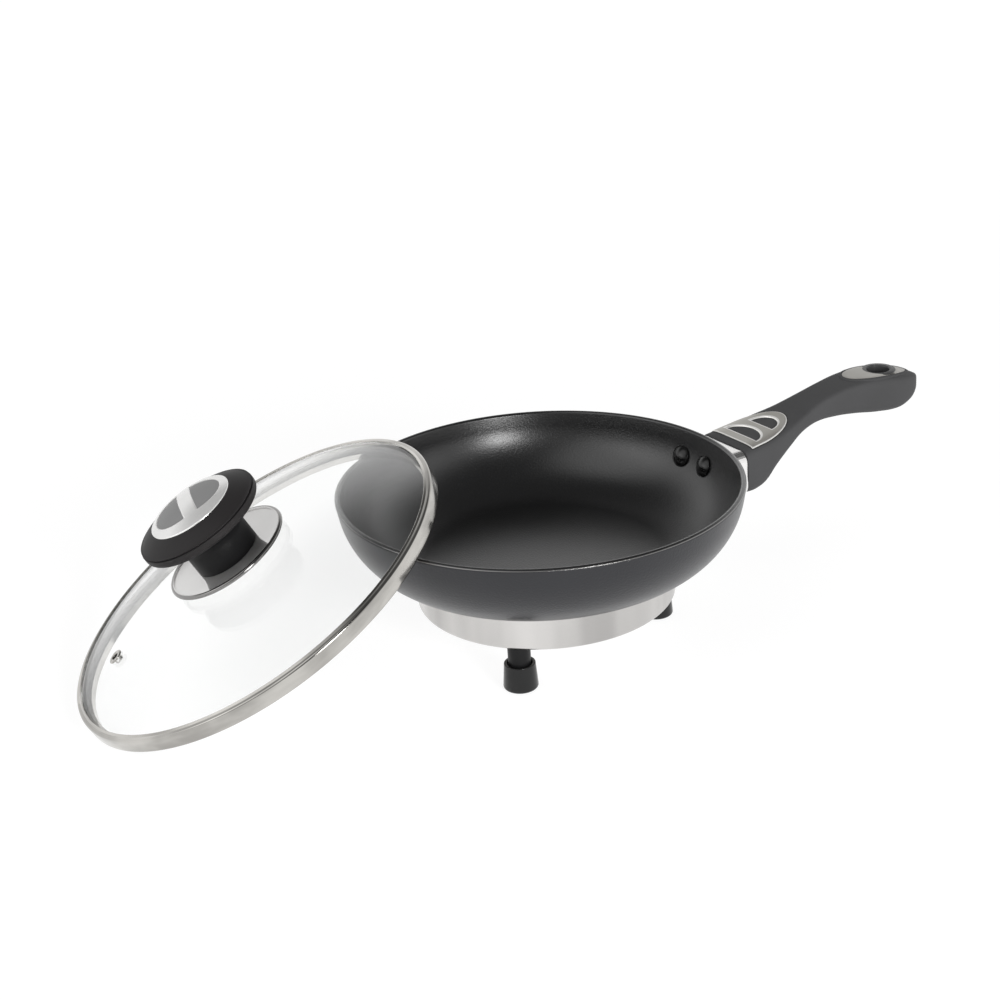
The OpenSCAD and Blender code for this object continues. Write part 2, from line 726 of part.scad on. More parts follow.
module at_pins() {
    for (side = [-1, 1]) translate([side * pin_pitch / 2, 0, inlet_z]) rotate([-90, 0, 0]) children();
}

module inlet_guard() {
    color([0.06, 0.06, 0.06]) difference() {
        along_y(guard_inner, guard_reach) guard_outline(0);
        along_y(guard_inner + guard_back, guard_reach + past) guard_outline(-guard_wall);
        at_pins() cylinder(r = pin_r + pin_collar + touch_gap, h = guard_reach, $fn = 32);
        translate([0, 0, inlet_z]) rotate([-90, 0, 0])
            cylinder(r = well_r + well_wall + touch_gap, h = guard_reach, $fn = 32);
    }
}

module terminal_pins() {
    color([0.8, 0.8, 0.78]) at_pins() {
        translate([0, 0, pin_inner]) cylinder(r = lead_r, h = guard_inner - pin_inner, $fn = 32);
        translate([0, 0, guard_inner])
            cylinder(r = pin_r + pin_collar, h = guard_back + pin_collar, $fn = 32);
        translate([0, 0, guard_inner + guard_back + pin_collar])
            cylinder(r = pin_r, h = pin_outer - pin_nose - guard_inner - guard_back - pin_collar, $fn = 32);
        translate([0, 0, pin_outer - pin_nose])
            cylinder(r1 = pin_r, r2 = pin_r - pin_nose / 2, h = pin_nose, $fn = 32);
    }
}

module thermostat_well() {
    color([0.7, 0.7, 0.7]) translate([0, 0, inlet_z]) rotate([-90, 0, 0]) difference() {
        translate([0, 0, well_start])
            cylinder(r = well_r + well_wall, h = guard_inner + guard_back - well_start, $fn = 32);
        translate([0, 0, well_start + 2]) cylinder(r = well_r, h = guard_inner + guard_back, $fn = 32);
    }
}

// A round lead through a list of points, as one swept tube
module tube(points, r, sides = 8) {
    n = len(points);
    function dir(i) = let (a = points[max(i - 1, 0)], b = points[min(i + 1, n - 1)]) (b - a) / norm(b - a);
    rings = [for (i = [0:n - 1])
        let (d = dir(i), u = [0, 0, 1], s = cross(d, u) / norm(cross(d, u)), v = cross(s, d))
        [for (j = [0:sides - 1]) points[i] + r * (cos(360 * j / sides) * s + sin(360 * j / sides) * v)]];
    walls = [for (i = [0:n - 2], j = [0:sides - 1])
        let (a = i * sides + j, b = i * sides + (j + 1) % sides)
        each [[a, b, a + sides], [b, b + sides, a + sides]]];
    first = [for (j = [1:sides - 2]) [0, j + 1, j]];
    e = (n - 1) * sides;
    last = [for (j = [1:sides - 2]) [e, e + j, e + j + 1]];
    polyhedron([for (ring = rings) each ring], concat(walls, first, last));
}

// The leads stop just short of the cold ends and the pins' tails
lead_gap = 0.3;
cold_end = [element_ring_r * sin(element_gap_angle / 2),
    element_ring_r * cos(element_gap_angle / 2) + cold_end_l + lead_gap];
pin_tail = [pin_pitch / 2, pin_inner - lead_gap];

module lead_wires() {
    color([0.8, 0.75, 0.65]) for (side = [-1, 1])
        tube([for (i = [0:6])
            let (u = i / 6, w = u * u * (3 - 2 * u))
            [side * (cold_end[0] + (pin_tail[0] - cold_end[0]) * w),
                cold_end[1] + (pin_tail[1] - cold_end[1]) * u,
                element_z + (inlet_z - element_z) * w]], lead_r);
}

module thermal_fuse() {
    color([0.8, 0.8, 0.8]) translate([-fuse_len / 2, 12, spreader_z - fuse_r - touch_gap])
        rotate([0, 90, 0]) cylinder(r = fuse_r, h = fuse_len, $fn = 32);
}

// Lid: everything is drawn about the lid's own axis, then leaned on the rim
module leaning() {
    rotate([0, 0, lid_turn]) translate([lean_x, 0, lean_z]) rotate([0, lid_tilt, 0]) children();
}

module glass_section() {
    polygon(concat(
        [for (i = [0:2 * curve_steps]) let (a = edge_angle * i / (2 * curve_steps))
            [sphere_r * sin(a), sphere_z + sphere_r * cos(a)]],
        [for (i = [2 * curve_steps:-1:0]) let (a = edge_angle * i / (2 * curve_steps))
            [under_r * sin(a), sphere_z + under_r * cos(a)]]));
}

module at_vent() {
    a = asin(vent_circle_r / sphere_r);
    rotate([0, 0, vent_turn]) translate([0, 0, sphere_z]) rotate([0, a, 0])
        translate([0, 0, sphere_r]) children();
}

module lid_glass() {
    color([0.85, 0.9, 0.9, 0.35]) leaning() difference() {
        rotate_extrude($fn = 120) glass_section();
        translate([0, 0, glass_crown - 2 * glass_t])
            cylinder(r = knob_screw_r + 0.5, h = 4 * glass_t, $fn = 32);
        at_vent() translate([0, 0, -2 * glass_t])
            cylinder(r = vent_r + eyelet_t + touch_gap, h = 4 * glass_t, $fn = 32);
    }
}

// The rim is one rolled strip: a lip over the glass, a round shoulder, the outer wall,
// a seat for the pan's rim and a short lip that drops inside the pan
module rim_section() {
    s = lid_sheet;
    shoulder = [lid_r - shoulder_r, shoulder_z];
    inwards = crimp_w * [-cos(edge_angle), sin(edge_angle)];
    outer = arc(shoulder, shoulder_r, 90 - edge_angle, 0, 6);
    inner = arc(shoulder, shoulder_r - s, 0, 90 - edge_angle, 6);
    polygon(concat(
        [outer[0] + inwards],
        outer,
        arc([lid_r - seat_round, seat_round], seat_round, 0, -90, 4),
        [[lip_r, 0], [lip_r, -lip_drop], [lip_r - s, -lip_drop], [lip_r - s, s],
            [lid_r - seat_round, s]],
        arc([lid_r - seat_round, seat_round], seat_round - s, -90, 0, 4),
        inner,
        [inner[len(inner) - 1] + inwards]));
}

module lid_rim() {
    color([0.82, 0.81, 0.79]) leaning() rotate_extrude($fn = 120) rim_section();
}

module vent_eyelet() {
    color([0.8, 0.8, 0.8]) leaning() at_vent() difference() {
        union() {
            translate([0, 0, touch_gap]) cylinder(r = eyelet_r, h = eyelet_t + 0.4, $fn = 32);
            translate([0, 0, -glass_t - past])
                cylinder(r = vent_r + eyelet_t, h = glass_t + past + eyelet_t, $fn = 32);
        }
        translate([0, 0, -2 * glass_t]) cylinder(r = vent_r, h = 4 * glass_t, $fn = 32);
    }
}

module knob_gasket() {
    color([0.1, 0.1, 0.1]) leaning() difference() {
        translate([0, 0, glass_crown + touch_gap])
            cylinder(r = gasket_r, h = gasket_t - touch_gap, $fn = 48);
        translate([0, 0, glass_crown - past])
            cylinder(r = knob_screw_r + 0.5, h = gasket_t + 2 * past, $fn = 32);
    }
}

// The dish rises from its flat middle to a rolled bead at its edge
module dish_section() {
    rise = dish_depth;
    run = dish_r - dish_bead - dish_flat_r;
    bowl_r = (run * run + rise * rise) / (2 * rise);
    sweep = asin(run / bowl_r);
    centre = [dish_flat_r, dish_z + bowl_r];
    edge = centre + (bowl_r - dish_sheet / 2) * [cos(sweep - 90), sin(sweep - 90)];
    polygon(concat(
        [[knob_screw_r + touch_gap, dish_z]],
        arc(centre, bowl_r, -90, -90 + sweep * 0.95),
        arc(edge, dish_bead, sweep - 120, sweep + 120, 8),
        arc(centre, bowl_r - dish_sheet, -90 + sweep * 0.95, -90),
        [[knob_screw_r + touch_gap, dish_z + dish_sheet]]));
}

module knob_dish() {
    color([0.85, 0.85, 0.84]) leaning() rotate_extrude($fn = 96) dish_section();
}

// Neck: a waisted column that flares under the cap
module neck_section() {
    flare = 10;
    polygon(concat(
        [[0, neck_z + touch_gap], [knob_neck_r, neck_z + touch_gap]],
        arc([knob_neck_r + flare, cap_z - flare], flare, 180, 90),
        [[0, cap_z]]));
}

module knob_neck() {
    color([0.1, 0.1, 0.1]) leaning() difference() {
        rotate_extrude($fn = 96) neck_section();
        translate([0, 0, neck_z - past])
            cylinder(r = insert_r + touch_gap, h = insert_h + past + touch_gap, $fn = 48);
    }
}

module knob_insert() {
    color([0.75, 0.6, 0.3]) leaning() translate([0, 0, neck_z + touch_gap]) difference() {
        cylinder(r = insert_r, h = insert_h - touch_gap, $fn = 48);
        translate([0, 0, -past]) cylinder(r = knob_screw_r + touch_gap, h = insert_h + 2 * past, $fn = 32);
    }
}

// Cap: a domed top on a rounded skirt, with a groove where the two mouldings meet
crown_r = (knob_r * knob_r + pow(knob_cap_h - cap_skirt_h, 2)) / (2 * (knob_cap_h - cap_skirt_h));
cap_top = cap_z + knob_cap_h;
crown_z = cap_top - crown_r;
module cap_section() {
    dome = asin((knob_r - 1.4) / crown_r);
    polygon(concat(
        [[0, cap_z + touch_gap], [knob_r - 4, cap_z + touch_gap]],
        arc([knob_r - 2.4, cap_z + 2.4 + touch_gap], 2.4, -70, 0, 6),
        [[knob_r, cap_z + cap_skirt_h - cap_groove], [knob_r - cap_groove, cap_z + cap_skirt_h],
            [knob_r - cap_groove / 2, cap_z + cap_skirt_h + cap_groove]],
        [for (i = [0:curve_steps]) let (a = dome * (1 - i / curve_steps))
            [crown_r * sin(a), crown_z + crown_r * cos(a)]]));
}

module knob_cap() {
    color([0.2, 0.19, 0.2]) leaning() difference() {
        rotate_extrude($fn = 96) cap_section();
        inlay_shell(knob_inlay_r + inlay_gap, knob_inlay_t + inlay_gap, 2);
    }
}

// A slice of the cap's dome inside radius r, from depth below its surface to above
module inlay_shell(r, depth, above) {
    a = asin(r / crown_r);
    rotate_extrude($fn = 96) polygon(concat(
        [for (i = [0:curve_steps]) let (t = a * i / curve_steps)
            [(crown_r - depth) * sin(t), crown_z + (crown_r - depth) * cos(t)]],
        [for (i = [curve_steps:-1:0]) let (t = a * i / curve_steps)
            [(crown_r + above) * sin(t), crown_z + (crown_r + above) * cos(t)]]));
}

module knob_windows() {
    for (side = [0, 180]) rotate([0, 0, side])
        translate([knob_window_gap, 0]) half_moon(knob_inlay_r * 1.3, knob_inlay_r - 2 * knob_window_gap);
}

module knob_inlay() {
    color([0.86, 0.85, 0.84]) leaning() difference() {
        inlay_shell(knob_inlay_r, knob_inlay_t, 0.3);
        translate([0, 0, cap_z]) linear_extrude(2 * knob_cap_h) knob_windows();
    }
}

module knob_screw() {
    head_z = glass_crown - glass_t - washer_sag - washer_t - 2 * touch_gap - screw_head_h;
    color([0.7, 0.7, 0.7]) leaning() {
        translate([0, 0, head_z]) difference() {
            cylinder(r = screw_head_r, h = screw_head_h, $fn = 40);
            translate([-screw_head_r, -0.6, -past]) cube([2 * screw_head_r, 1.2, 1.2 + past]);
        }
        translate([0, 0, head_z + screw_head_h])
            cylinder(r = knob_screw_r, h = neck_z + insert_h - 2 - head_z - screw_head_h, $fn = 32);
    }
}

module knob_washer() {
    color([0.7, 0.7, 0.7]) leaning() difference() {
        translate([0, 0, glass_crown - glass_t - washer_t - touch_gap - washer_sag])
            cylinder(r = washer_r, h = washer_t, $fn = 40);
        translate([0, 0, glass_crown - 3 * glass_t])
            cylinder(r = knob_screw_r + 0.3, h = 4 * glass_t, $fn = 32);
    }
}

pan();
handle_bracket();
handle_rivets();
handle_grip();
handle_inlay();
handle_ring();
hanging_eyelet();
handle_screw();
base_cup();
centre_nut();
heat_spreader();
heating_element();
element_clamps();
clamp_nuts();
insulation_disc();
inlet_guard();
terminal_pins();
thermostat_well();
lead_wires();
thermal_fuse();
for (i = [1:3]) leg_post(i);
for (i = [1:3]) foot_boot(i);
leg_screws();
lid_glass();
lid_rim();
vent_eyelet();
knob_gasket();
knob_dish();
knob_neck();
knob_cap();
knob_inlay();
knob_insert();
knob_screw();
knob_washer();
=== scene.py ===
import math

import bmesh
import bpy
import numpy as np
from mathutils import Matrix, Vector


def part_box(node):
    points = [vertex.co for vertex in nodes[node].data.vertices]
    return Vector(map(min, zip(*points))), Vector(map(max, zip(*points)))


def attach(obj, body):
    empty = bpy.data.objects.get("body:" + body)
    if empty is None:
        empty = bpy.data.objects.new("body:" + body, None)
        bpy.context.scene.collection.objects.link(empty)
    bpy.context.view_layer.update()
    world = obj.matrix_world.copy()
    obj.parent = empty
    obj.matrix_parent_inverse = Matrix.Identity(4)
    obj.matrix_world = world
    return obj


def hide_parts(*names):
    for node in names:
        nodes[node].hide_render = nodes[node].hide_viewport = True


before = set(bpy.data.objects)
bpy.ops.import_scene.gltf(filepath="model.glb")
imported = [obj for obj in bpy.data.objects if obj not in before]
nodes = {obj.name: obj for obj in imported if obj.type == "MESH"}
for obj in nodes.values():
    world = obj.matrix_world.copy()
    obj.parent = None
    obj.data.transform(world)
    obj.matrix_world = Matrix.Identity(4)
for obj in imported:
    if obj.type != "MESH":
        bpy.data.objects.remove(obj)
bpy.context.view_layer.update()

# The pan: one disc of aluminium pressed into a bowl with a rounded rim, sprayed with
# black non-stick inside and a graphite coat outside. The rim's edge is left bare.


def arc(centre, radius, start, end, n=14):
    """Points on a circle about centre, from the start angle to the end angle in degrees."""
    a = np.radians(np.linspace(start, end, n))
    return np.stack([centre[0] + radius * np.cos(a), centre[1] + radius * np.sin(a)], -1)


def sheet(name, points, uv, marks=None, crease=40):
    """A grid of points, rows by columns, as a mesh: each cell is one quad. Points that meet at a
    seam or a pole are merged, and edges sharper than the crease angle stay sharp."""
    rows, cols = points.shape[:2]
    at = np.arange(rows * cols).reshape(rows, cols)
    quads = np.stack([at[:-1, :-1], at[:-1, 1:], at[1:, 1:], at[1:, :-1]], -1).reshape(-1, 4)
    mesh = bpy.data.meshes.new(name)
    mesh.vertices.add(rows * cols)
    mesh.vertices.foreach_set("co", np.ascontiguousarray(points, np.float32).ravel())
    mesh.loops.add(quads.size)
    mesh.loops.foreach_set("vertex_index", quads.ravel())
    mesh.polygons.add(len(quads))
    mesh.polygons.foreach_set("loop_start", np.arange(0, quads.size, 4))
    mesh.update(calc_edges=True)
    layer = mesh.uv_layers.new(name="UVMap")
    layer.data.foreach_set("uv", uv.reshape(-1, 2)[quads.ravel()].astype(np.float32).ravel())
    for key, values in (marks or {}).items():
        mark = mesh.attributes.new(key, "FLOAT", "POINT")
        mark.data.foreach_set("value", np.ascontiguousarray(values, np.float32).ravel())
    shell = bmesh.new()
    shell.from_mesh(mesh)
    bmesh.ops.remove_doubles(shell, verts=shell.verts, dist=2e-7)
    bmesh.ops.dissolve_degenerate(shell, edges=shell.edges, dist=1e-7)
    bmesh.ops.recalc_face_normals(shell, faces=shell.faces)
    shell.to_mesh(mesh)
    shell.free()
    mesh.polygons.foreach_set("use_smooth", np.ones(len(mesh.polygons), bool))
    mesh.set_sharp_from_angle(angle=math.radians(crease))
    piece = bpy.data.objects.new(name, mesh)
    bpy.context.scene.collection.objects.link(piece)
    return piece


def turned(name, profile, seat=None, turns=192, crease=40):
    """A profile of (radius, height) in millimetres carried once round the Z axis, as on a lathe.
    seat moves the points to their place; the UV map holds turns and metres along the profile."""
    profile = np.asarray(profile, float) / 1000
    a = np.linspace(0, 2 * np.pi, turns + 1)
    run = np.r_[0, np.cumsum(np.hypot(*np.diff(profile, axis=0).T))]
    points = np.stack([profile[:, :1] * np.cos(a), profile[:, :1] * np.sin(a), profile[:, 1:] + 0 * a], -1)
    uv = np.stack(np.broadcast_arrays(a / (2 * np.pi), run[:, None]), -1)
    return sheet(name, points if seat is None else seat(points), uv, crease=crease)


class Wire:
    """One socket in a material. Arithmetic on wires adds Math nodes; add makes any other node."""

    def __init__(self, tree, socket=None):
        self.tree, self.socket = tree, socket

    def add(self, kind, settings=None, sockets=None, out=0):
        node = self.tree.nodes.new("ShaderNode" + kind)
        for key, value in (settings or {}).items():
            setattr(node, key, value)
        for key, value in (sockets or {}).items():
            join(self.tree, value, node.inputs[key])
        return Wire(self.tree, node.outputs[out])

    def maths(self, operation, *values):
        return self.add("Math", {"operation": operation}, dict(enumerate(values)))

    def __add__(self, other):
        return self.maths("ADD", self, other)

    def __sub__(self, other):
        return self.maths("SUBTRACT", self, other)

    def __rsub__(self, other):
        return self.maths("SUBTRACT", other, self)

    def __mul__(self, other):
        return self.maths("MULTIPLY", self, other)

    __radd__, __rmul__ = __add__, __mul__

    def step(self, low, high):
        """0 below low and 1 above high, smooth between."""
        return self.add("MapRange", {"interpolation_type": "SMOOTHSTEP"},
                        {"Value": self, "From Min": low, "From Max": high})

    def tint(self, none, full):
        """The colour none where the wire is 0 and full where it is 1."""
        return self.add("Mix", {"data_type": "RGBA"}, {0: self, 6: none, 7: full}, out=2)

    def place(self, stretch=(1, 1, 1), source="Object"):
        """The surface's coordinates from a source, multiplied along each axis."""
        spot = self.add("TexCoord", out=source)
        return self.add("VectorMath", {"operation": "MULTIPLY"}, {0: spot, 1: stretch})

    def noise(self, where, scale, detail=3.0, rough=0.5):
        return self.add("TexNoise", None,
                        {"Vector": where, "Scale": scale, "Detail": detail, "Roughness": rough})

    def part(self, axis, source="Object"):
        """One coordinate of the surface: X, Y or Z."""
        return self.add("SeparateXYZ", None, {0: self.add("TexCoord", out=source)}, out=axis)

    def mark(self, name):
        return self.add("Attribute", {"attribute_name": name}, out="Fac")

    def bump(self, height, distance, strength=1.0):
        return self.add("Bump", None, {"Height": height, "Distance": distance, "Strength": strength})


def join(tree, value, socket):
    """Links a wire to a socket, or sets the socket to a plain value."""
    if isinstance(value, Wire):
        tree.links.new(value.socket, socket)
    elif socket.type == "RGBA" and len(value) == 3:
        socket.default_value = (*value, 1)
    else:
        socket.default_value = value


def finish(recipe):
    """A material named after its recipe, which takes a starting wire and gives the shader's sockets."""
    material = bpy.data.materials.new(recipe.__name__)
    material.use_nodes = True
    tree = material.node_tree
    for key, value in recipe(Wire(tree)).items():
        join(tree, value, tree.nodes["Principled BSDF"].inputs[key])
    return material


def dress(piece, material, slot=None, body="skillet", *stands_for):
    """Gives a piece its material. A new piece, given a slot, is also hung on the body it rides on; the
    slot itself is not kept. The CAD nodes it stands for are hidden."""
    piece.data.materials.clear()
    piece.data.materials.append(material)
    if slot:
        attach(piece, body)
    if stands_for:
        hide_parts(*stands_for)


rim_r, flat_r, wall, base_top, rim_z, flare = 105.0, 62.0, 3.0, 43.0, 86.0, 10.0
bead = np.array([rim_r - wall / 2, rim_z - wall / 2])
tan_flare = math.tan(math.radians(flare))
mid_curve = (bead[0] - flat_r - tan_flare * (bead[1] - base_top - wall / 2)) / (
    math.cos(math.radians(flare)) - tan_flare * (1 - math.sin(math.radians(flare))))
curve_r = mid_curve + wall / 2
curve_at = (flat_r, base_top + curve_r)
outer_wall = np.r_[[[0, base_top], [30, base_top], [55, base_top]],
                   arc(curve_at, curve_r, -90, -flare, 40)]
rim_bead = arc(bead, wall / 2, -flare, 180 - flare, 18)
inner_wall = np.r_[arc(curve_at, curve_r - wall, -flare, -90, 40),
                   [[50, base_top + wall], [30, base_top + wall], [0, base_top + wall]]]
pan_line = np.r_[outer_wall, rim_bead, inner_wall]
rim_run = np.hypot(*np.diff(np.r_[outer_wall, rim_bead[:9]], axis=0).T).sum() / 1000


def pan_coat(w):
    past_rim = w.part("Y", "UV") - rim_run
    bare_from, bare_to, blur = -0.0014, -0.0010, 0.0001
    inside = past_rim.step(bare_to - 2 * blur, bare_to + blur)
    bare = (past_rim.step(bare_from - blur, bare_from + blur)
            * (1 - past_rim.step(bare_to - blur, bare_to + blur)))
    grain = w.noise(w.place(), 1000, 3)
    haze = w.noise(w.place(), 26, 4)
    coat = haze.tint((0.0095, 0.0098, 0.0122), (0.0145, 0.015, 0.018))
    stick = (grain * 0.5 + haze * 0.5).tint((0.003, 0.003, 0.0032), (0.010, 0.010, 0.0104))
    colour = bare.tint(inside.tint(coat, stick), (0.24, 0.235, 0.23))
    return {"Base Color": colour, "Metallic": bare,
            "Roughness": 0.27 + inside * 0.02 + haze * 0.06,
            "Coat Weight": inside * (0.7 + grain * 0.2), "Coat Roughness": 0.27,
            "Normal": w.bump(grain, 0.0003, 0.5), "Specular IOR Level": 0.5}


pan = turned("pan_shell", pan_line, turns=256)
dress(pan, finish(pan_coat), "nonstick", "skillet", "pan")

# The rivets: two solid aluminium rivets with domed heads inside the bowl, coated with the
# same black, driven through the wall and the bracket and peened over outside.
rivet_drop, rivet_pitch, shank_r, head_r, head_h, seat_gap = 16.0, 20.0, 2.5, 5.8, 2.8, 0.45
rivet_lean = math.asin((curve_at[1] - (rim_z - rivet_drop)) / curve_r)
rivet_turn = math.asin(rivet_pitch / 2 / (flat_r + curve_r * math.cos(rivet_lean)))


def spun(angle):
    """The matrix that turns points about Z."""
    c, s = math.cos(angle), math.sin(angle)
    return np.array([[c, -s, 0], [s, c, 0], [0, 0, 1]])


def tipped(angle):
    """The matrix that tips points about Y, from Z towards X."""
    c, s = math.cos(angle), math.sin(angle)
    return np.array([[c, 0, s], [0, 1, 0], [-s, 0, c]])


def at_rivet(side):
    """Moves points drawn along Z so that Z runs out of the pan, square to its wall, at one rivet."""
    tip, turn = tipped(math.pi / 2 + rivet_lean), spun(side * rivet_turn)
    spot = np.array([flat_r, 0, curve_at[1]]) / 1000
    return lambda p: ((p + [0, 0, curve_r / 1000]) @ tip.T + spot) @ turn.T


def rivet_coat(w):
    grain = w.noise(w.place(), 1500, 2)
    rub = w.noise(w.place(), 300, 3)
    return {"Base Color": rub.tint((0.003, 0.003, 0.003), (0.007, 0.007, 0.007)),
            "Roughness": 0.12 + rub * 0.08, "Normal": w.bump(grain, 0.00005, 0.2)}


rivet_black = finish(rivet_coat)
dome_r = (head_r ** 2 + head_h ** 2) / (2 * head_h)
head, edge_r, bracket_sheet = -wall - seat_gap, 0.4, 1.5
tail, peen, peen_round = bracket_sheet + seat_gap, 1.6, 0.6
dome_reach = math.degrees(math.asin((head_r - edge_r) / dome_r))
head_line = np.r_[arc((0, head - head_h + dome_r), dome_r, -90, dome_reach - 90, 16),
                  arc((head_r - edge_r, head - edge_r), edge_r, -40, 90, 6),
                  [[shank_r, head], [shank_r, tail], [shank_r + peen, tail]],
                  arc((shank_r + peen - peen_round, tail + peen - peen_round), peen_round, 0, 90, 6),
                  [[0, tail + peen]]]
for name, side in (("near", -1), ("far", 1)):
    rivet = turned(f"rivet_{name}", head_line, at_rivet(side), 48)
    dress(rivet, rivet_black, "black_coated", "skillet", *(["handle_rivets"] if side < 0 else []))

# The bracket: bright stainless sheet, folded into a collar and welded to a flange that
# fits the pan's curve. A tang runs from it into the grip.


def bright_bracket(w):
    lines = w.noise(w.place((60, 4000, 60)), 1, 2)
    cloud = w.noise(w.place(), 60, 3)
    return {"Base Color": cloud.tint((0.84, 0.83, 0.82), (0.92, 0.91, 0.9)), "Metallic": 1.0,
            "Roughness": 0.16 + lines * 0.12, "Normal": w.bump(lines, 0.00002, 0.4)}


dress(nodes["handle_bracket"], finish(bright_bracket))

# The grip: a glass-filled core with a soft-touch skin moulded over it, wide and flat on
# top at the root, waisted for the fingers and rounded at its end. One screw holds the tang.
root_x, grip_len, root_half, root_depth = 120.5, 138.0, 20.5, 26.5
stations = np.array([
    [0.000, -0.358, -1.358, 1], [0.025, -0.346, -1.425, 1], [0.061, -0.328, -1.435, 1],
    [0.110, -0.300, -1.340, 0.98], [0.153, -0.272, -1.095, 0.95], [0.235, -0.204, -0.774, 0.84],
    [0.327, -0.098, -0.536, 0.67], [0.429, 0.045, -0.445, 0.56], [0.542, 0.166, -0.475, 0.55],
    [0.644, 0.219, -0.543, 0.62], [0.756, 0.204, -0.649, 0.7], [0.858, 0.128, -0.694, 0.74],
    [0.920, 0.070, -0.610, 0.66], [0.957, 0.025, -0.490, 0.53], [0.985, -0.040, -0.360, 0.335],
    [1.000, -0.110, -0.250, 0.13]])
top_square, low_square = 6.0, 2.6


def along_grip(share, column):
    """Smooth curve through the stations: a cubic between each two with the slopes of its neighbours."""
    x, v = stations[:, 0], stations[:, column]
    inner = (v[2:] - v[:-2]) / (x[2:] - x[:-2])
    slope = np.r_[(v[1] - v[0]) / (x[1] - x[0]), inner, (v[-1] - v[-2]) / (x[-1] - x[-2])]
    i = np.clip(np.searchsorted(x, share, "right") - 1, 0, len(x) - 2)
    w = x[i + 1] - x[i]
    u = (share - x[i]) / w
    return ((2 * u ** 3 - 3 * u ** 2 + 1) * v[i] + (u ** 3 - 2 * u ** 2 + u) * w * slope[i]
            + (3 * u ** 2 - 2 * u ** 3) * v[i + 1] + (u ** 3 - u ** 2) * w * slope[i + 1])


def grip_span(share):
    """The grip's top, bottom and half width at a share of its length, in millimetres."""
    high, low = (rim_z + root_depth * along_grip(share, column) for column in (1, 2))
    return high, low, root_half * along_grip(share, 3)


def grip_top(x, y):
    """Height of the grip's upper surface above the worktop at a place on it, in millimetres."""
    high, low, half = grip_span(np.clip((x - root_x) / grip_len, 0, 1))
    drop = np.clip(1 - np.abs(y / half) ** top_square, 0, 1) ** (1 / top_square)
    return (high + low) / 2 + (high - low) / 2 * drop


def grip_surface():
    """Rounded rectangles, squarer above than below, one at each share of the length; the ends are
    closed by rings that shrink to a point."""
    share = np.sin(np.linspace(0, np.pi / 2, 120))[:, None]
    a = np.linspace(0, 2 * np.pi, 145)[None]
    high, low, half = grip_span(share)
    power = np.where(np.sin(a) > 0, 2 / top_square, 2 / low_square)
    y = half * np.sign(np.cos(a)) * np.abs(np.cos(a)) ** power
    z = (high + low) / 2 + (high - low) / 2 * np.sign(np.sin(a)) * np.abs(np.sin(a)) ** power
    body = np.stack([root_x + grip_len * share + 0 * a, y, z], -1)
    heart = body.mean(1, keepdims=True)
    ease = np.array([0.0, 0.5, 0.93, 0.975])[:, None, None]
    front = heart[:1] + (body[:1] - heart[:1]) * ease
    tip = heart[-1:] + (body[-1:] - heart[-1:]) * ease[1::-1]
    body[0] = heart[0] + (body[0] - heart[0]) * 0.99
    return np.concatenate([front, body, tip]) / 1000


def cut(piece, cutter):
    """Takes the cutter's shape out of a piece, and throws the cutter away."""
    tool = piece.modifiers.new("cut", "BOOLEAN")
    tool.operation, tool.solver, tool.object = "DIFFERENCE", "EXACT", cutter
    shown = piece.evaluated_get(bpy.context.evaluated_depsgraph_get())
    carved = bpy.data.meshes.new_from_object(shown)
    piece.modifiers.clear()
    piece.data = carved
    carved.set_sharp_from_angle(angle=math.radians(40))
    bpy.data.objects.remove(cutter)


def moved(x, y=0.0, z=0.0):
    """Gives the function that moves points by a distance along each axis, in millimetres."""
    return lambda p: p + np.array([x, y, z]) / 1000


def column(name, radius, low, high, seat, turns=64):
    """A plain round column to cut with: a rectangle of radius by height carried round an axis."""
    return turned(name, [[0, low], [radius, low], [radius, high], [0, high]], seat, turns)


def soft_touch(w):
    skin = w.noise(w.place(), 1600, 2)
    wear = w.noise(w.place(), 45, 4)
    return {"Base Color": wear.tint((0.056, 0.056, 0.057), (0.072, 0.072, 0.074)),
            "Roughness": 0.52 + wear * 0.14, "Normal": w.bump(skin, 0.00008, 0.35),
            "Specular IOR Level": 0.14}


soft_black = finish(soft_touch)
grip_points = grip_surface()
grip = sheet("grip_skin", grip_points, grip_points[..., :2] * 10, crease=60)
hang_share, hang_r, eyelet_r = 0.815, 6.5, 9.1
hang_x = root_x + hang_share * grip_len
screw_x, screw_hole_r, screw_head = root_x + 0.11 * grip_len, 4.8, 3.05
screw_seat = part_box("handle_screw")[0].z * 1000 + screw_head
cut(grip, column("hang_cut", eyelet_r - 0.1, 0, 120, moved(hang_x), 96))
cut(grip, column("screw_cut", screw_hole_r, 0, screw_seat, moved(screw_x), 96))
dress(grip, soft_black, "soft_touch", "skillet", "handle_grip")

# The root inlay: a satin aluminium plate with chamfered edges, pressed into the top
# of the grip; its bevels carry a painted highlight and its outer edge a painted shadow gap.
# Two half-moon windows in it show the black skin below.


def half_moon(x, y, width, depth):
    """Distance inside a half moon whose straight side is x = 0: the lesser of the distance from
    that side and the distance from an ellipse, and negative outside."""
    reach = np.sqrt((x / depth) ** 2 + (2 * y / width) ** 2)
    return np.minimum(x, (1 - reach) * min(depth, width / 2) * 0.8)


def soft_step(v, low, high):
    """0 below low, 1 above high, with a smooth cubic between."""
    t = np.clip((v - low) / (high - low), 0, 1)
    return t * t * (3 - 2 * t)


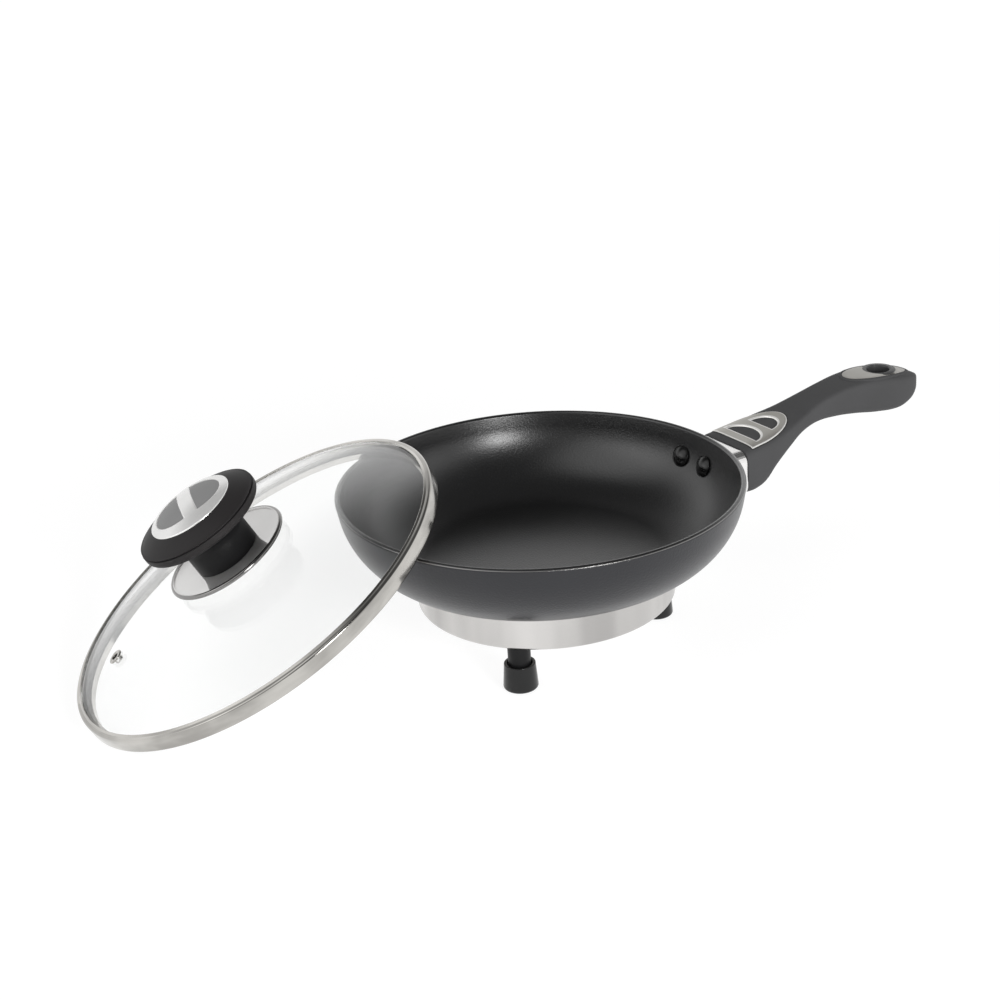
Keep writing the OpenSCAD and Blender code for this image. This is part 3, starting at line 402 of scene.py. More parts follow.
def satin_silver(w):
    lines = w.noise(w.place((40, 3500, 40)), 1, 2)
    cloud = w.noise(w.place(), 90, 3)
    # The darkening mark takes the plate towards black: the black skin in the windows, plus painted shade in
    # the gap round the root plate's edge and over the whole end plate.
    windows_and_shade = w.mark("window_and_shade")
    # The chamfer mark paints the bevels near white: a painted highlight on the chamfers.
    face = w.mark("painted_chamfer_highlight").tint(cloud.tint((0.40, 0.385, 0.355), (0.49, 0.475, 0.44)), (0.86, 0.85, 0.83))
    return {"Base Color": windows_and_shade.tint(face, (0.02, 0.02, 0.02)),
            "Metallic": 0.6 - windows_and_shade * 0.6, "Roughness": 0.25 + lines * 0.12 + windows_and_shade * 0.28,
            "Normal": w.bump(lines, 0.00002, 0.35)}


silver = finish(satin_silver)
inlay_share, inlay_margin, inlay_reach = 0.036, 2.6, 0.265 * grip_len
inlay_x0, inlay_half = root_x + inlay_share * grip_len, grip_span(inlay_share)[2] - inlay_margin
inlay_windows = (0.17, 1.5, 0.27), (0.56, 1.08, 0.27)   # start, width and depth as shares of the plate


def inlay_plate():
    """A plate spread from its middle to its outline by a share from 0 to 1; it follows the grip's
    top, stands proud of it, rounds down at its edge, where a painted shadow gap darkens it, and
    drops into the two windows. Its bevels are marked for a painted highlight."""
    a = np.radians(np.linspace(90, -90, 200))
    nose = np.stack([inlay_x0 + inlay_reach * (0.22 + 0.78 * np.cos(a)), 0.98 * inlay_half * np.sin(a)], -1)
    side = np.linspace(0, 1, 100)[1:-1, None]
    corners = np.array([nose[-1], [inlay_x0, -inlay_half], [inlay_x0, inlay_half], nose[0]])
    edges = [corners[i] + side * (corners[i + 1] - corners[i]) for i in range(3)]
    ring = np.r_[nose, edges[0], corners[1:2], edges[1], corners[2:3], edges[2], nose[:1]]
    middle = np.array([inlay_x0 + 0.45 * inlay_reach, 0])
    share = np.r_[np.linspace(0, 0.95, 110), 0.96, 0.968, 0.975, 1.0, 1.0][:, None, None]
    flat = middle + share * (ring - middle)
    x, y = flat[..., 0], flat[..., 1]
    along = x - inlay_x0
    inside = np.maximum(*(half_moon(along - start * inlay_reach, y, wide * inlay_half, deep * inlay_reach)
                          for start, wide, deep in inlay_windows))
    rise = 0.7 - 1.2 * soft_step(inside, 0, 0.8)
    rise[-5:] -= np.array([0.1, 0.3, 0.6, 0.6, 1.7])[:, None]
    window_fill_and_gap_shade = soft_step(inside, 0.55, 0.8)
    # The last three rings, where the plate drops to the grip, take the dark window colour: a painted shadow
    # in the gap round the plate.
    window_fill_and_gap_shade[-3:] = 1
    # The bevels round the windows and four rings inside the outline are marked for the painted highlight.
    painted_chamfer_highlight = soft_step(inside, -0.7, -0.4) * (1 - soft_step(inside, 0.3, 0.6))
    painted_chamfer_highlight[-7:-3] = 1
    return np.stack([x, y, grip_top(x, y) + rise], -1) / 1000, {"window_and_shade": window_fill_and_gap_shade, "painted_chamfer_highlight": painted_chamfer_highlight}


plate, marks = inlay_plate()
inlay = sheet("root_inlay", plate, plate[..., :2] * 20, marks, crease=50)
dress(inlay, silver, "satin_silver", "skillet", "handle_inlay")

# The end plate: the same satin aluminium, an oval round the hanging hole inside a lip of the
# soft skin, and a dark moulded eyelet that lines the hole and stands a little proud of it.
end_x0, end_x1, end_half = root_x + 0.636 * grip_len, root_x + 0.955 * grip_len, 10.4


def end_oval(grow):
    """The plate's outline, a long oval that is a little wider towards the pan, grown outwards."""
    a = np.linspace(0, 2 * np.pi, 241)
    wide = (end_half + grow) * np.sign(np.sin(a)) * np.abs(np.sin(a)) ** 0.9 * (1 - 0.12 * np.cos(a))
    return np.stack([(end_x0 + end_x1) / 2 + ((end_x1 - end_x0) / 2 + grow) * np.cos(a), wide], -1)


def end_plate():
    """Spread from the eyelet's circle to the oval by a share from 0 to 1, on the grip's top."""
    oval = end_oval(0)
    b = np.arctan2(oval[:, 1], oval[:, 0] - hang_x)
    hole = np.stack([hang_x + (eyelet_r - 0.3) * np.cos(b), (eyelet_r - 0.3) * np.sin(b)], -1)
    share = np.r_[0, np.linspace(0, 0.95, 40), 0.98, 1, 1][:, None, None]
    flat = hole + share * (oval - hole)
    x, y = flat[..., 0], flat[..., 1]
    rise = np.full(x.shape, 0.5)
    rise[0] = -1.0
    rise[-3:] = np.array([0.45, 0.2, -1.0])[:, None]
    return np.stack([x, y, grip_top(x, y) + rise], -1) / 1000


def end_lip():
    """A rounded lip of the soft skin round the plate: ovals that climb over it and down again."""
    grow = np.array([-0.3, -0.2, 0.2, 0.8, 1.5, 2.0, 2.3, -0.3])
    rise = np.array([-0.6, 0.3, 0.6, 0.65, 0.5, 0.15, -0.6, -0.6])
    flat = np.stack([end_oval(g) for g in grow])
    x, y = flat[..., 0], flat[..., 1]
    return np.stack([x, y, grip_top(x, y) + rise[:, None]], -1) / 1000


plate = end_plate()
# The whole end plate takes 0.18 of the dark window colour: painted shade that makes it dimmer than the root
# plate, which is the same aluminium.
ring = sheet("end_plate", plate, plate[..., :2] * 20, {"window_and_shade": np.full(plate.shape[:2], 0.18)}, crease=50)
dress(ring, silver, "satin_silver", "skillet", "handle_ring")
lip_points = end_lip()
dress(sheet("end_lip", lip_points, lip_points[..., :2] * 10), soft_black, "soft_touch")


def eyelet_grey(w):
    grain = w.noise(w.place(), 1800, 2)
    cloud = w.noise(w.place(), 150, 3)
    return {"Base Color": cloud.tint((0.03, 0.03, 0.031), (0.05, 0.05, 0.051)),
            "Roughness": 0.34 + cloud * 0.1, "Normal": w.bump(grain, 0.00006, 0.3)}


hang_high, hang_low = (edge + lift for edge, lift in zip(grip_span(hang_share), (1.2, 1.6)))
flange_r = eyelet_r + 0.9

eyelet_line = np.r_[arc((eyelet_r - 0.9, hang_low + 0.9), 0.9, -90, 0, 8), [[eyelet_r, hang_high - 0.75]],
                    arc((flange_r - 0.3, hang_high - 0.45), 0.3, -90, 60, 7),
                    arc((hang_r + 0.8, hang_high - 0.8), 0.8, 80, 180, 8),
                    arc((hang_r + 0.6, hang_low + 0.6), 0.6, 180, 270, 8)]
eyelet = turned("hang_eyelet", np.r_[eyelet_line, eyelet_line[:1]], moved(hang_x), 96)
dress(eyelet, finish(eyelet_grey), "dark_collar", "skillet", "hanging_eyelet")

# The base cup: stainless sheet drawn into a shallow cup with a rounded lower edge and
# brushed round its wall. A central nut draws it up against the pan.


def brushed_cup(w):
    lines = w.noise(w.place((3, 2600, 1), "UV"), 1, 3, 0.6)
    # Broad vertical bands of lighter and darker steel: painted reflection streaks standing in for the lamps'
    # streaks in the brushed wall.
    painted_reflection_streaks = w.noise(w.place((9, 2, 1), "UV"), 1, 3).step(0.3, 0.7)
    return {"Base Color": painted_reflection_streaks.tint((0.44, 0.43, 0.42), (0.72, 0.705, 0.69)), "Metallic": 1.0,
            "Roughness": 0.18 + lines * 0.12, "Anisotropic": 0.5, "Normal": w.bump(lines, 0.00003, 0.45)}


def boxed(name, steps):
    """A rounded rectangle carried along Y, in millimetres: each step gives its half width, its half
    height, the radius of its corners and its place on Y."""
    wide, high, corner, y = (np.array(v, float)[:, None] for v in zip(*steps))
    a = np.radians(np.linspace(0, 90, 7))
    turns = np.r_[a, a + np.pi / 2, a + np.pi, a + 3 * np.pi / 2, 0]
    times = [len(a)] * 4 + [1]
    sx, sz = np.repeat([1, -1, -1, 1, 1], times), np.repeat([1, 1, -1, -1, 1], times)
    x = sx * (wide - corner) + corner * np.cos(turns)
    z = sz * (high - corner) + corner * np.sin(turns)
    points = np.stack([x, y + 0 * x, z + inlet_z], -1) / 1000
    return sheet(name, points, points[..., ::2] * 10)


cup_r, cup_low, cup_sheet, cup_round = 67.5, 24.0, 0.8, 2.6
cup_top = curve_at[1] - math.sqrt(curve_r ** 2 - (cup_r - cup_sheet - flat_r) ** 2) - 0.05
inlet_z = (cup_low + cup_sheet + base_top) / 2
cup_in, cup_floor, lip = cup_r - cup_round, cup_low + cup_round, cup_sheet / 2
cup_line = np.r_[[[0, cup_low], [30, cup_low]], arc((cup_in, cup_floor), cup_round, -90, 0, 12),
                 arc((cup_r - lip, cup_top - lip), lip, 0, 180, 6),
                 arc((cup_in, cup_floor), cup_round - cup_sheet, 0, -90, 8),
                 [[30, cup_low + cup_sheet], [0, cup_low + cup_sheet]]]
cup = turned("base_cup_shell", cup_line, turns=256)
guard_w, guard_h, guard_round = 20.0, 7.5, 2.5
way_in = (guard_w + 0.05, guard_h + 0.05, guard_round)
cut(cup, boxed("way_in", [(0, 0, 0, 60), (*way_in, 60), (*way_in, 80), (0, 0, 0, 80)]))
dress(cup, finish(brushed_cup), "band_steel", "skillet", "base_cup")

# The legs: three moulded posts screwed up into the cup, each in a soft rubber boot that
# stands open round the post at its top and widens to its sole.


def moulded_black(w):
    grain = w.noise(w.place(), 2200, 2)
    cloud = w.noise(w.place(), 120, 3)
    return {"Base Color": cloud.tint((0.004, 0.004, 0.0043), (0.009, 0.009, 0.0095)),
            "Roughness": 0.36 + cloud * 0.14, "Normal": w.bump(grain, 0.00006, 0.35),
            "Specular IOR Level": 0.22}


def boot_rubber(w):
    dust = w.noise(w.place(), 500, 4, 0.65)
    film = w.noise(w.place(), 90, 3)
    return {"Base Color": dust.tint((0.003, 0.003, 0.003), (0.008, 0.008, 0.008)),
            "Roughness": 0.14 + film * 0.12, "Normal": w.bump(dust, 0.00004, 0.2),
            "Specular IOR Level": 0.4}


black = finish(moulded_black)
rubber = finish(boot_rubber)
post_r, boot_r, boot_top_r, boot_h, boot_sole = 5.8, 8.9, 8.0, 14.0, 4.0
leg_circle, first_leg = 60.0, -18
mouth_r = post_r + 0.65
post_line = np.r_[[[0, boot_sole]], arc((post_r - 0.4, boot_sole + 0.4), 0.4, -90, 0, 5),
                  [[post_r, cup_low - 0.05], [0, cup_low - 0.05]]]
boot_line = np.r_[[[0, 0]], arc((boot_r - 1.6, 1.6), 1.6, -90, 0, 10),
                  arc((boot_top_r - 0.5, boot_h - 0.5), 0.5, 0, 90, 6),
                  arc((mouth_r + 0.3, boot_h - 0.3), 0.3, 90, 180, 4),
                  [[mouth_r, boot_h - 2.5], [post_r + 0.05, boot_h - 3.15],
                   [post_r + 0.05, boot_sole - 0.05], [0, boot_sole - 0.05]]]
for leg in (1, 2, 3):
    a = math.radians(first_leg + 120 * (leg - 1))
    at_foot = moved(math.cos(a) * leg_circle, math.sin(a) * leg_circle)
    post = turned(f"post_{leg}", post_line, at_foot, 64)
    boot = turned(f"boot_{leg}", boot_line, at_foot, 96)
    dress(post, black, "black_plastic", "skillet", f"leg_post_{leg}")
    dress(boot, rubber, "boot_rubber", "skillet", f"foot_boot_{leg}")

# The heating parts inside the cup: a cast spreader under the pan, a sheathed element held
# to it by clamps and nuts, fibre board below, and the fuse and sleeved leads.


def cast_aluminium(w):
    pits = w.noise(w.place(), 700, 4)
    cloud = w.noise(w.place(), 50, 3)
    return {"Base Color": cloud.tint((0.55, 0.56, 0.58), (0.72, 0.73, 0.75)), "Metallic": 1.0,
            "Roughness": 0.38 + pits * 0.15, "Normal": w.bump(pits, 0.0001, 0.4)}


def element_sheath(w):
    bloom = w.noise(w.place(), 70, 4)
    scale = w.noise(w.place(), 900, 3)
    return {"Base Color": bloom.tint((0.09, 0.085, 0.08), (0.26, 0.23, 0.2)), "Metallic": 0.8,
            "Roughness": 0.45 + scale * 0.2, "Normal": w.bump(scale, 0.0001, 0.4)}


def fibre_board(w):
    fluff = w.noise(w.place(), 1200, 6, 0.7)
    patch = w.noise(w.place(), 60, 3)
    return {"Base Color": (fluff * 0.6 + patch * 0.4).tint((0.62, 0.59, 0.52), (0.86, 0.84, 0.79)),
            "Roughness": 0.9 + fluff * 0.08, "Normal": w.bump(fluff, 0.0004, 0.6)}


def zinc_plate(w):
    spangle = w.add("TexVoronoi", None, {"Vector": w.place(), "Scale": 900.0}, out="Distance")
    cloud = w.noise(w.place(), 200, 3)
    return {"Base Color": cloud.tint((0.5, 0.5, 0.5), (0.68, 0.68, 0.69)), "Metallic": 1.0,
            "Roughness": 0.26 + spangle * 0.2, "Normal": w.bump(spangle, 0.00004, 0.25)}


def glass_sleeve(w):
    weave = w.add("TexWave", {"wave_type": "BANDS", "bands_direction": "DIAGONAL"},
                  {"Vector": w.place(), "Scale": 900.0, "Distortion": 1.0}, out="Fac")
    return {"Base Color": weave.tint((0.55, 0.5, 0.42), (0.82, 0.78, 0.68)),
            "Roughness": 0.7 + weave * 0.15, "Normal": w.bump(weave, 0.0003, 0.6)}


zinc = finish(zinc_plate)
dress(nodes["heat_spreader"], finish(cast_aluminium))
dress(nodes["heating_element"], finish(element_sheath))
dress(nodes["insulation_disc"], finish(fibre_board))
dress(nodes["lead_wires"], finish(glass_sleeve))
for name in ("element_clamps", "clamp_nuts", "thermal_fuse", "leg_screws", "handle_screw", "centre_nut",
             "thermostat_well", "knob_screw", "knob_washer"):
    dress(nodes[name], zinc)

# The inlet: a moulded guard let into the back of the cup, with two nickel-plated pins for
# a plug-in control and a steel well between them for its probe.


def nickel_pin(w):
    rub = w.noise(w.place((400, 30, 400)), 4, 3)
    return {"Base Color": rub.tint((0.62, 0.6, 0.56), (0.8, 0.78, 0.74)), "Metallic": 1.0,
            "Roughness": 0.14 + rub * 0.14, "Normal": w.bump(rub, 0.00002, 0.3)}


back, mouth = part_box("inlet_guard")[0].y * 1000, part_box("inlet_guard")[1].y * 1000
well_r = 4.05
# Each step of the guard: how far in from its outer wall, 1 or 0 where it closes, and its place on Y.
guard_steps = [(0, 0, back), (1.0, 1, back), (0.3, 1, back + 0.2), (0, 1, back + 0.8), (0, 1, mouth - 0.8),
               (0.25, 1, mouth - 0.2), (0.8, 1, mouth), (1.4, 1, mouth), (1.85, 1, mouth - 0.2),
               (2.0, 1, mouth - 0.8), (2.0, 1, back + 3.4), (2.4, 1, back + 3.0), (0, 0, back + 3.0)]
guard = boxed("inlet_shroud", [(keep * (guard_w - inset), keep * (guard_h - inset),
                                keep * max(guard_round - inset, 0.4), y) for inset, keep, y in guard_steps])
cut(guard, column("well_cut", well_r, back - 1, back + 4,
                  lambda p: p[..., [0, 2, 1]] * [1, 1, -1] + [0, 0, inlet_z / 1000]))
dress(guard, black, "black_plastic", "skillet", "inlet_guard")
dress(nodes["terminal_pins"], finish(nickel_pin))

# The lid: a disc of clear tempered glass, slumped to a shallow dome. Its edge is held in
# the rim, and it leans with its low edge on the worktop and its underside on the pan's rim.
lid_r, rim_h, strip, glass_rise, glass_t, glass_in = 106.0, 8.5, 0.7, 18.0, 4.0, 2.2
lid_tilt, lid_turn = math.radians(29.1), math.radians(162.5)
glass_r = lid_r - glass_in
dome = (glass_r ** 2 + glass_rise ** 2) / (2 * glass_rise)
edge = math.asin(glass_r / dome)
shoulder = 1.4
crimp_x = lid_r - shoulder + (shoulder - strip) * math.sin(edge)
crimp_z = rim_h - shoulder + (shoulder - strip) * math.cos(edge)
crown = crimp_z + (crimp_x - glass_r) * math.tan(edge) - 0.05 + glass_rise
dome_z = crown - dome
lip_r, lip_drop, seat_round, lean_gap = rim_r - wall - 1.6, 2.2, 1.2, 0.3
lip_in = lip_r - strip
lean_z = (lid_r - seat_round) * math.sin(lid_tilt) - seat_round * math.cos(lid_tilt) + seat_round + lean_gap
over_rim = lean_z - lip_drop * math.cos(lid_tilt) - rim_z - 2 * lean_gap
cross = over_rim / (lip_in * math.sin(lid_tilt))
lean_x = (math.sqrt(bead[0] ** 2 - lip_in ** 2 * (1 - cross ** 2)) - lip_in * cross * math.cos(lid_tilt)
          + lip_drop * math.sin(lid_tilt))


def leaning(p):
    """Leans points drawn about the lid's own axis and sets them on the worktop and the rim."""
    return (p @ tipped(lid_tilt).T + np.array([lean_x, 0, lean_z]) / 1000) @ spun(lid_turn).T


def clear_glass(w):
    smear = w.noise(w.place(), 35, 4)
    return {"Base Color": smear.tint((0.985, 0.995, 0.99), (1.0, 1.0, 1.0)),
            "Roughness": smear * 0.012, "Transmission Weight": 1.0, "IOR": 1.45, "Specular IOR Level": 0.15}


a = np.linspace(0, edge, 60)
over_line = np.stack([np.sin(a), np.cos(a)], -1)
glass_line = np.r_[dome * over_line, (dome - glass_t) * over_line[::-1]] + [0, dome_z]
glass = turned("lid_pane", glass_line, leaning, 256)
vent_circle, vent_r, vent_bore, vent_drop = 75.5, 2.3, 1.8, 4.8
vent_lean, vent_turn = math.asin(vent_circle / dome), math.radians(-1)
screw_way = 3.0


def at_vent(p):
    """Moves points drawn about Z onto the glass, square to it, then leans them with the lid."""
    on_dome = (p + [0, 0, dome / 1000]) @ tipped(vent_lean).T + [0, 0, dome_z / 1000]
    return leaning(on_dome @ spun(vent_turn).T)


cut(glass, column("vent_cut", vent_r + 0.05, -8, 4, at_vent))
cut(glass, column("screw_cut", screw_way, crown - 8, crown + 4, leaning))
glass.visible_shadow = False
dress(glass, finish(clear_glass), "clear_glass", "lid", "lid_glass")

# The lid's rim: one strip of stainless rolled round the glass, with a lip crimped down over
# it, a seat for the pan's rim and a short inner lip that drops inside the pan.


def polished_strip(w):
    lines = w.noise(w.place((2, 2200, 1), "UV"), 1, 3, 0.6)
    cloud = w.noise(w.place((14, 60, 1), "UV"), 1, 3)
    # Patches of lighter and darker steel round the strip: painted reflections standing in for the uneven
    # reflections of the room.
    painted_reflection_patches = cloud.step(0.35, 0.65)
    return {"Base Color": painted_reflection_patches.tint((0.36, 0.35, 0.33), (0.58, 0.565, 0.535)), "Metallic": 1.0,
            "Roughness": 0.07 + lines * 0.07, "Normal": w.bump(lines, 0.00002, 0.3)}


tip, crimp = 90 - math.degrees(edge), 2.2
inwards = crimp * np.array([-math.cos(edge), math.sin(edge)])
over = arc((lid_r - shoulder, rim_h - shoulder), shoulder, tip, 0, 10)
under = arc((lid_r - shoulder, rim_h - shoulder), shoulder - strip, 0, tip, 8)
nose = (over[0] + under[-1]) / 2 + inwards
nose_turn = math.degrees(math.atan2(inwards[1], inwards[0]))
rim_line = np.r_[arc(nose, strip / 2, nose_turn + 80, nose_turn - 80, 7)[::-1], over,
                 arc((lid_r - seat_round, seat_round), seat_round, 0, -90, 8),
                 [[lip_r, 0], [lip_r, -lip_drop], [lip_in, -lip_drop], [lip_in, strip],
                  [lid_r - seat_round, strip]],
                 arc((lid_r - seat_round, seat_round), seat_round - strip, -90, 0, 6), under]
rim_line = np.r_[rim_line, rim_line[:1]]
rim = turned("lid_strip", rim_line, leaning, 256)
steel_strip = finish(polished_strip)
dress(rim, steel_strip, "rim_steel", "lid", "lid_rim")

# The steam vent: a small plated eyelet, pressed through a hole in the glass near its edge
# and flared over it, so that steam can leave when the lid is on.
vent_line = np.r_[[[vent_r, 0.05]], arc((vent_r + 1.2, 0.55), 0.5, -90, 90, 10),
                  arc((vent_bore + 0.6, 0.45), 0.6, 90, 180, 7),
                  [[vent_bore, -vent_drop], [vent_r, -vent_drop], [vent_r, 0.05]]]
vent = turned("vent_ring", vent_line, at_vent, 64)
dress(vent, steel_strip, "bright_steel", "lid", "vent_eyelet")

# The knob's dish: stainless spun to a very shallow dish with a rolled edge and polished like a
# mirror, to keep fingers off the glass. A rubber gasket lies under it.


def mirror_steel(w):
    rub = w.noise(w.place(), 60, 4)
    run_out = w.part("Y", "UV")
    roll_from, roll_to, blur = 0.0286, 0.0338, 0.0002
    # The rolled edge is painted dark: painted shade that draws a dark line round the dish.
    rolled_edge_shade = (run_out.step(roll_from - blur, roll_from + blur)
              * (1 - run_out.step(roll_to - blur, roll_to + blur)))
    face = rub.tint((0.76, 0.75, 0.74), (0.86, 0.85, 0.84))
    return {"Base Color": rolled_edge_shade.tint(face, (0.26, 0.255, 0.25)), "Metallic": 0.55 + rolled_edge_shade * 0.45,
            "Roughness": 0.06 + rub * 0.06}


dish_z, dish_r, neck_r, depth, spin_bead = crown + 1.0, 33.0, 17.0, 1.25, 1.2
dish_sheet, dish_bore, bowl_part = 0.8, 2.55, 0.95
neck_z = dish_z + dish_sheet
flat_dish = neck_r + 2.5
run = dish_r - spin_bead - flat_dish
bowl_r = (run * run + depth * depth) / (2 * depth)
sweep = math.degrees(math.asin(run / bowl_r))
bowl_at = (flat_dish, dish_z + bowl_r)
edge_at = arc(bowl_at, bowl_r - dish_sheet / 2, sweep - 90, sweep - 90, 1)[0]
dish_line = np.r_[[[dish_bore, dish_z]], arc(bowl_at, bowl_r, -90, -90 + sweep * bowl_part, 16),
                  arc(edge_at, spin_bead, sweep - 120, sweep + 120, 16),
                  arc(bowl_at, bowl_r - dish_sheet, -90 + sweep * bowl_part, -90, 16),
                  [[dish_bore, neck_z], [dish_bore, dish_z]]]
dish = turned("knob_bowl", dish_line, leaning, 160)
dress(dish, finish(mirror_steel), "polished_steel", "lid", "knob_dish")
dress(nodes["knob_gasket"], rubber)

# The knob: a black moulded neck round a brass insert, and a soft-touch cap in two mouldings
# that meet at a groove.


def turned_brass(w):
    lines = w.noise(w.place((30, 30, 4000)), 1, 2)
    return {"Base Color": lines.tint((0.55, 0.4, 0.16), (0.74, 0.58, 0.28)), "Metallic": 1.0,
            "Roughness": 0.22 + lines * 0.12, "Normal": w.bump(lines, 0.00003, 0.4)}


neck_h, neck_flare, knob_r, cap_h, skirt = 21.0, 10.0, 33.0, 15.0, 5.0
cap_z = neck_z + neck_h
neck_line = np.r_[[[0, neck_z + 0.05]], arc((neck_r - 0.4, neck_z + 0.45), 0.4, -90, 0, 5),
                  arc((neck_r + neck_flare, cap_z - neck_flare), neck_flare, 180, 90, 20), [[0, cap_z]]]
neck = turned("knob_stem", neck_line, leaning, 128)
dress(neck, black, "black_plastic", "lid", "knob_neck")
dress(nodes["knob_insert"], finish(turned_brass))

cap_crown = (knob_r ** 2 + (cap_h - skirt) ** 2) / (2 * (cap_h - skirt))
cap_dome_z = cap_z + cap_h - cap_crown
a = np.arcsin(np.linspace(knob_r - 1.4, 0, 50) / cap_crown)
cap_line = np.r_[[[0, cap_z + 0.05], [26, cap_z + 0.05], [knob_r - 4, cap_z + 0.05]],
                 arc((knob_r - 2.4, cap_z + 2.45), 2.4, -70, 0, 10), [[knob_r, cap_z + skirt - 0.7]],
                 arc((knob_r - 0.3, cap_z + skirt - 0.6), 0.3, 0, 80, 4),
                 [[knob_r - 1.1, cap_z + skirt - 0.25], [knob_r - 1.1, cap_z + skirt + 0.2]],
                 arc((knob_r - 0.8, cap_z + skirt + 0.6), 0.45, -70, 10, 4),
                 np.stack([cap_crown * np.sin(a), cap_dome_z + cap_crown * np.cos(a)], -1)]
cap = turned("knob_cap_skin", cap_line, leaning, 160)


def knob_skin(w):
    skin = w.noise(w.place(), 1600, 2)
    wear = w.noise(w.place(), 60, 4)
    return {"Base Color": wear.tint((0.015, 0.0137, 0.0141), (0.021, 0.0191, 0.0195)),
            "Roughness": 0.5 + wear * 0.12, "Normal": w.bump(skin, 0.00008, 0.35),
            "Specular IOR Level": 0.25}


dress(cap, finish(knob_skin), "soft_touch", "lid", "knob_cap")

# The knob's inlay: a polished aluminium disc pressed into the top of the cap, with two
# shallow half-moon windows that are filled with satin grey.
disc_r, moon_gap, moon_w, moon_d = 22.5, 3.4, 29.25, 15.7


def knob_disc():
    """Rings spread from the middle to the disc's edge on the cap's dome; the edge rounds down and
    the two windows drop almost to the cap."""
    r = np.r_[np.linspace(0, disc_r - 0.4, 130), disc_r - 0.15, disc_r, disc_r][:, None]
    a = np.linspace(0, 2 * np.pi, 361)[None]
    x, y = r * np.cos(a), r * np.sin(a)
    inside = np.maximum(half_moon(x - moon_gap, y, moon_w, moon_d),
                        half_moon(-x - moon_gap, -y, moon_w, moon_d))
    rise = 0.45 - 0.38 * soft_step(inside, 0, 0.5)
    rise[-3:] = np.array([0.42, 0.25, -1.0])[:, None]
    z = cap_dome_z + np.sqrt(cap_crown ** 2 - r ** 2) + rise
    return leaning(np.stack([x, y, z], -1) / 1000), soft_step(inside, 0.35, 0.6)


def knob_silver(w):
    lines = w.noise(w.place((40, 3000, 40)), 1, 2)
    windows_and_shade = w.mark("window_and_shade")
    face = lines.tint((0.80, 0.795, 0.785), (0.88, 0.875, 0.865))
    return {"Base Color": windows_and_shade.tint(face, (0.24, 0.24, 0.24)),
            "Metallic": 0.5 - windows_and_shade * 0.5, "Roughness": 0.15 + lines * 0.1 + windows_and_shade * 0.3,
            "Normal": w.bump(lines, 0.00001, 0.3)}


disc, windows = knob_disc()
disc_inlay = sheet("knob_disc", disc, disc[..., :2] * 20, {"window_and_shade": windows}, crease=50)
dress(disc_inlay, finish(knob_silver), "satin_silver", "lid", "knob_inlay")

# The stand for the picture: a wide white floor, a pale room that is darker overhead and behind
# the camera, three soft lamps, and a camera at the photograph's place and tilt.


def seen_straight(w):
    """1 for rays from the camera, from glossy surfaces and through glass, and 0 for the rest."""
    seen = w.add("LightPath", out="Is Camera Ray")
    ways = [Wire(w.tree, seen.socket.node.outputs[f"Is {kind} Ray"]) for kind in ("Glossy", "Transmission")]
    return w.maths("MAXIMUM", w.maths("MAXIMUM", seen, ways[0]), ways[1])


def floor_white(w):
    fleck = w.noise(w.place(), 3, 2)
    spread = w.add("VectorMath", {"operation": "LENGTH"}, {0: w.place()}, out="Value").step(0.25, 1.6)
    glow = (0.35 + seen_straight(w) * 0.65) * (0.87 + spread * 0.06)
    return {"Base Color": fleck.tint((0.20, 0.20, 0.20), (0.22, 0.22, 0.22)), "Roughness": 0.9,
            "Specular IOR Level": 0.0, "Emission Color": glow, "Emission Strength": 1.0}


a = np.linspace(0, 2 * np.pi, 65)
floor_r = np.array([30.0, 4.0, 1.0, 0.0])[:, None]
floor_points = np.stack([floor_r * np.cos(a), floor_r * np.sin(a), 0 * floor_r * a - 0.0002], -1)
floor = sheet("floor", floor_points, floor_points[..., :2])
dress(floor, finish(floor_white))


def from_centre(side, lift):
    """A direction by its turn from the handle and its lift from the worktop, in degrees."""
    side, lift = math.radians(side), math.radians(lift)
    return np.array([math.cos(lift) * math.cos(side), math.cos(lift) * math.sin(side), math.sin(lift)])


view_side, view_lift, view_roll, view_away = -123, 22.7, math.radians(3.2), 1.025
left_side, left_lift = -178, 42
sky = bpy.data.worlds.new("pale_sky")
sky.use_nodes = True
bpy.context.scene.world = sky
w = Wire(sky.node_tree)
camera_ray = w.add("LightPath", out="Is Camera Ray")
overhead = w.part("Z", "Generated").step(0.35, 0.75)


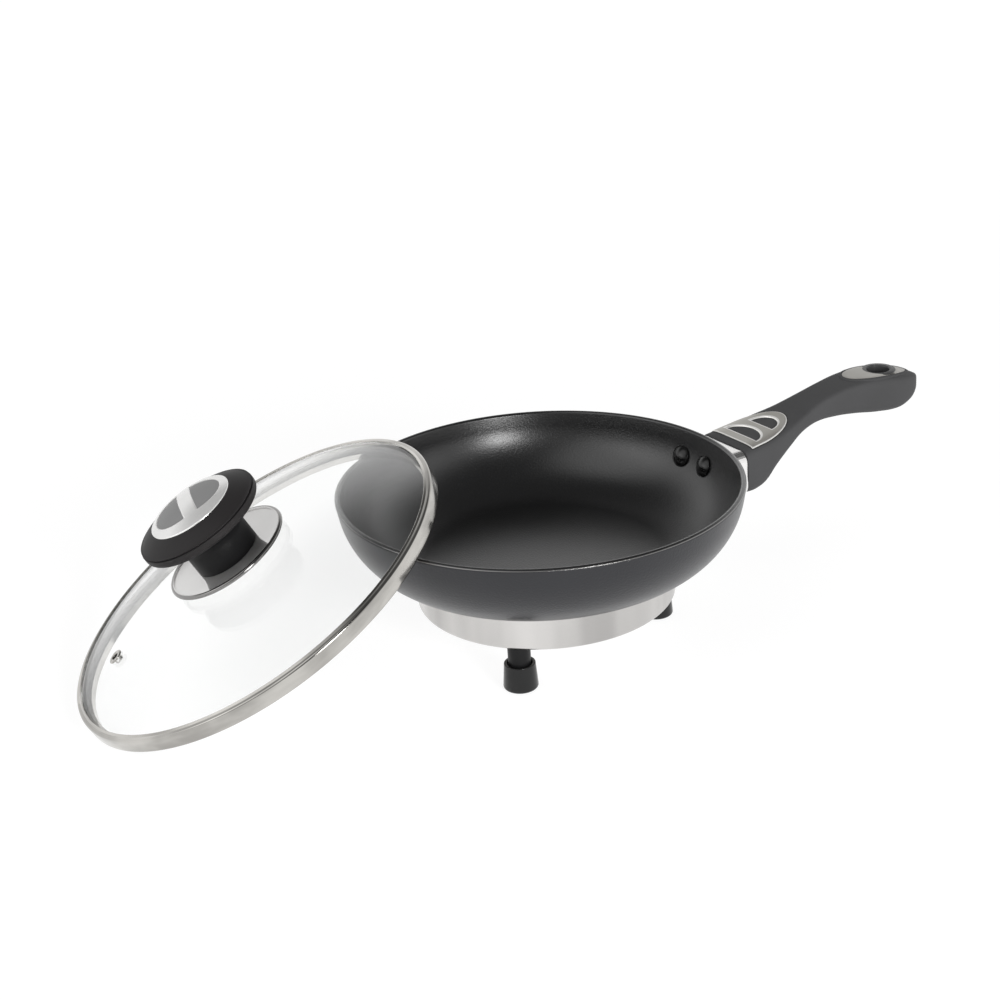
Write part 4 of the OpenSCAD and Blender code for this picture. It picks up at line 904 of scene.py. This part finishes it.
def towards(side, lift):
    """The cosine of the angle between a ray and a direction in the studio."""
    return w.add("VectorMath", {"operation": "DOT_PRODUCT"},
                 {0: w.place(source="Generated"), 1: from_centre(side, lift)}, out="Value")


walls = 1.0 - overhead * 0.9 - towards(view_side, 0).step(0.3, 0.9) * 0.7
studio = w.maths("MAXIMUM", walls, 0.06) + towards(left_side, left_lift).step(0.75, 0.98)
join(sky.node_tree, studio + camera_ray * (1 - studio), sky.node_tree.nodes["Background"].inputs["Strength"])
sky.node_tree.nodes["Background"].inputs["Color"].default_value = (1, 1, 1, 1)


def facing(outward, spot, roll=0.0):
    """The matrix of a lamp or camera at a spot that looks against the outward direction."""
    right = np.cross(-outward, [0, 0, 1])
    right /= np.linalg.norm(right)
    upward = np.cross(right, -outward)
    across = right * math.cos(roll) - upward * math.sin(roll)
    above = right * math.sin(roll) + upward * math.cos(roll)
    return Matrix(np.r_[np.c_[across, above, outward, spot], [[0, 0, 0, 1]]])


for name, side, lift, away, size, watts in (("left_box", left_side, left_lift, 1.4, 1.0, 2.5),
                                            ("front_fill", -93, 14, 1.9, 0.5, 20.0),
                                            ("front_box", -99, 16, 1.6, 0.45, 10.0)):
    light = bpy.data.lights.new(name, "AREA")
    light.size, light.energy = size, watts
    lamp = bpy.data.objects.new(name, light)
    lamp.matrix_world = facing(from_centre(side, lift), away * from_centre(side, lift) + [0, 0, 0.05])
    lamp.visible_glossy, lamp.visible_transmission = name == "front_box", False
    bpy.context.scene.collection.objects.link(lamp)

outward = from_centre(view_side, view_lift)
lens = bpy.data.cameras.new("camera")
lens.sensor_fit, lens.sensor_width, lens.lens = "HORIZONTAL", 36, 72
lens.shift_x, lens.shift_y = -0.0408, -0.0174
lens.clip_start, lens.clip_end = 0.05, 100
camera = bpy.data.objects.new("camera", lens)
camera.matrix_world = facing(outward, view_away * outward + [0, 0, rim_z / 1000], view_roll)
bpy.context.scene.collection.objects.link(camera)
bpy.context.scene.camera = camera
bpy.context.scene.view_settings.view_transform = "Standard"
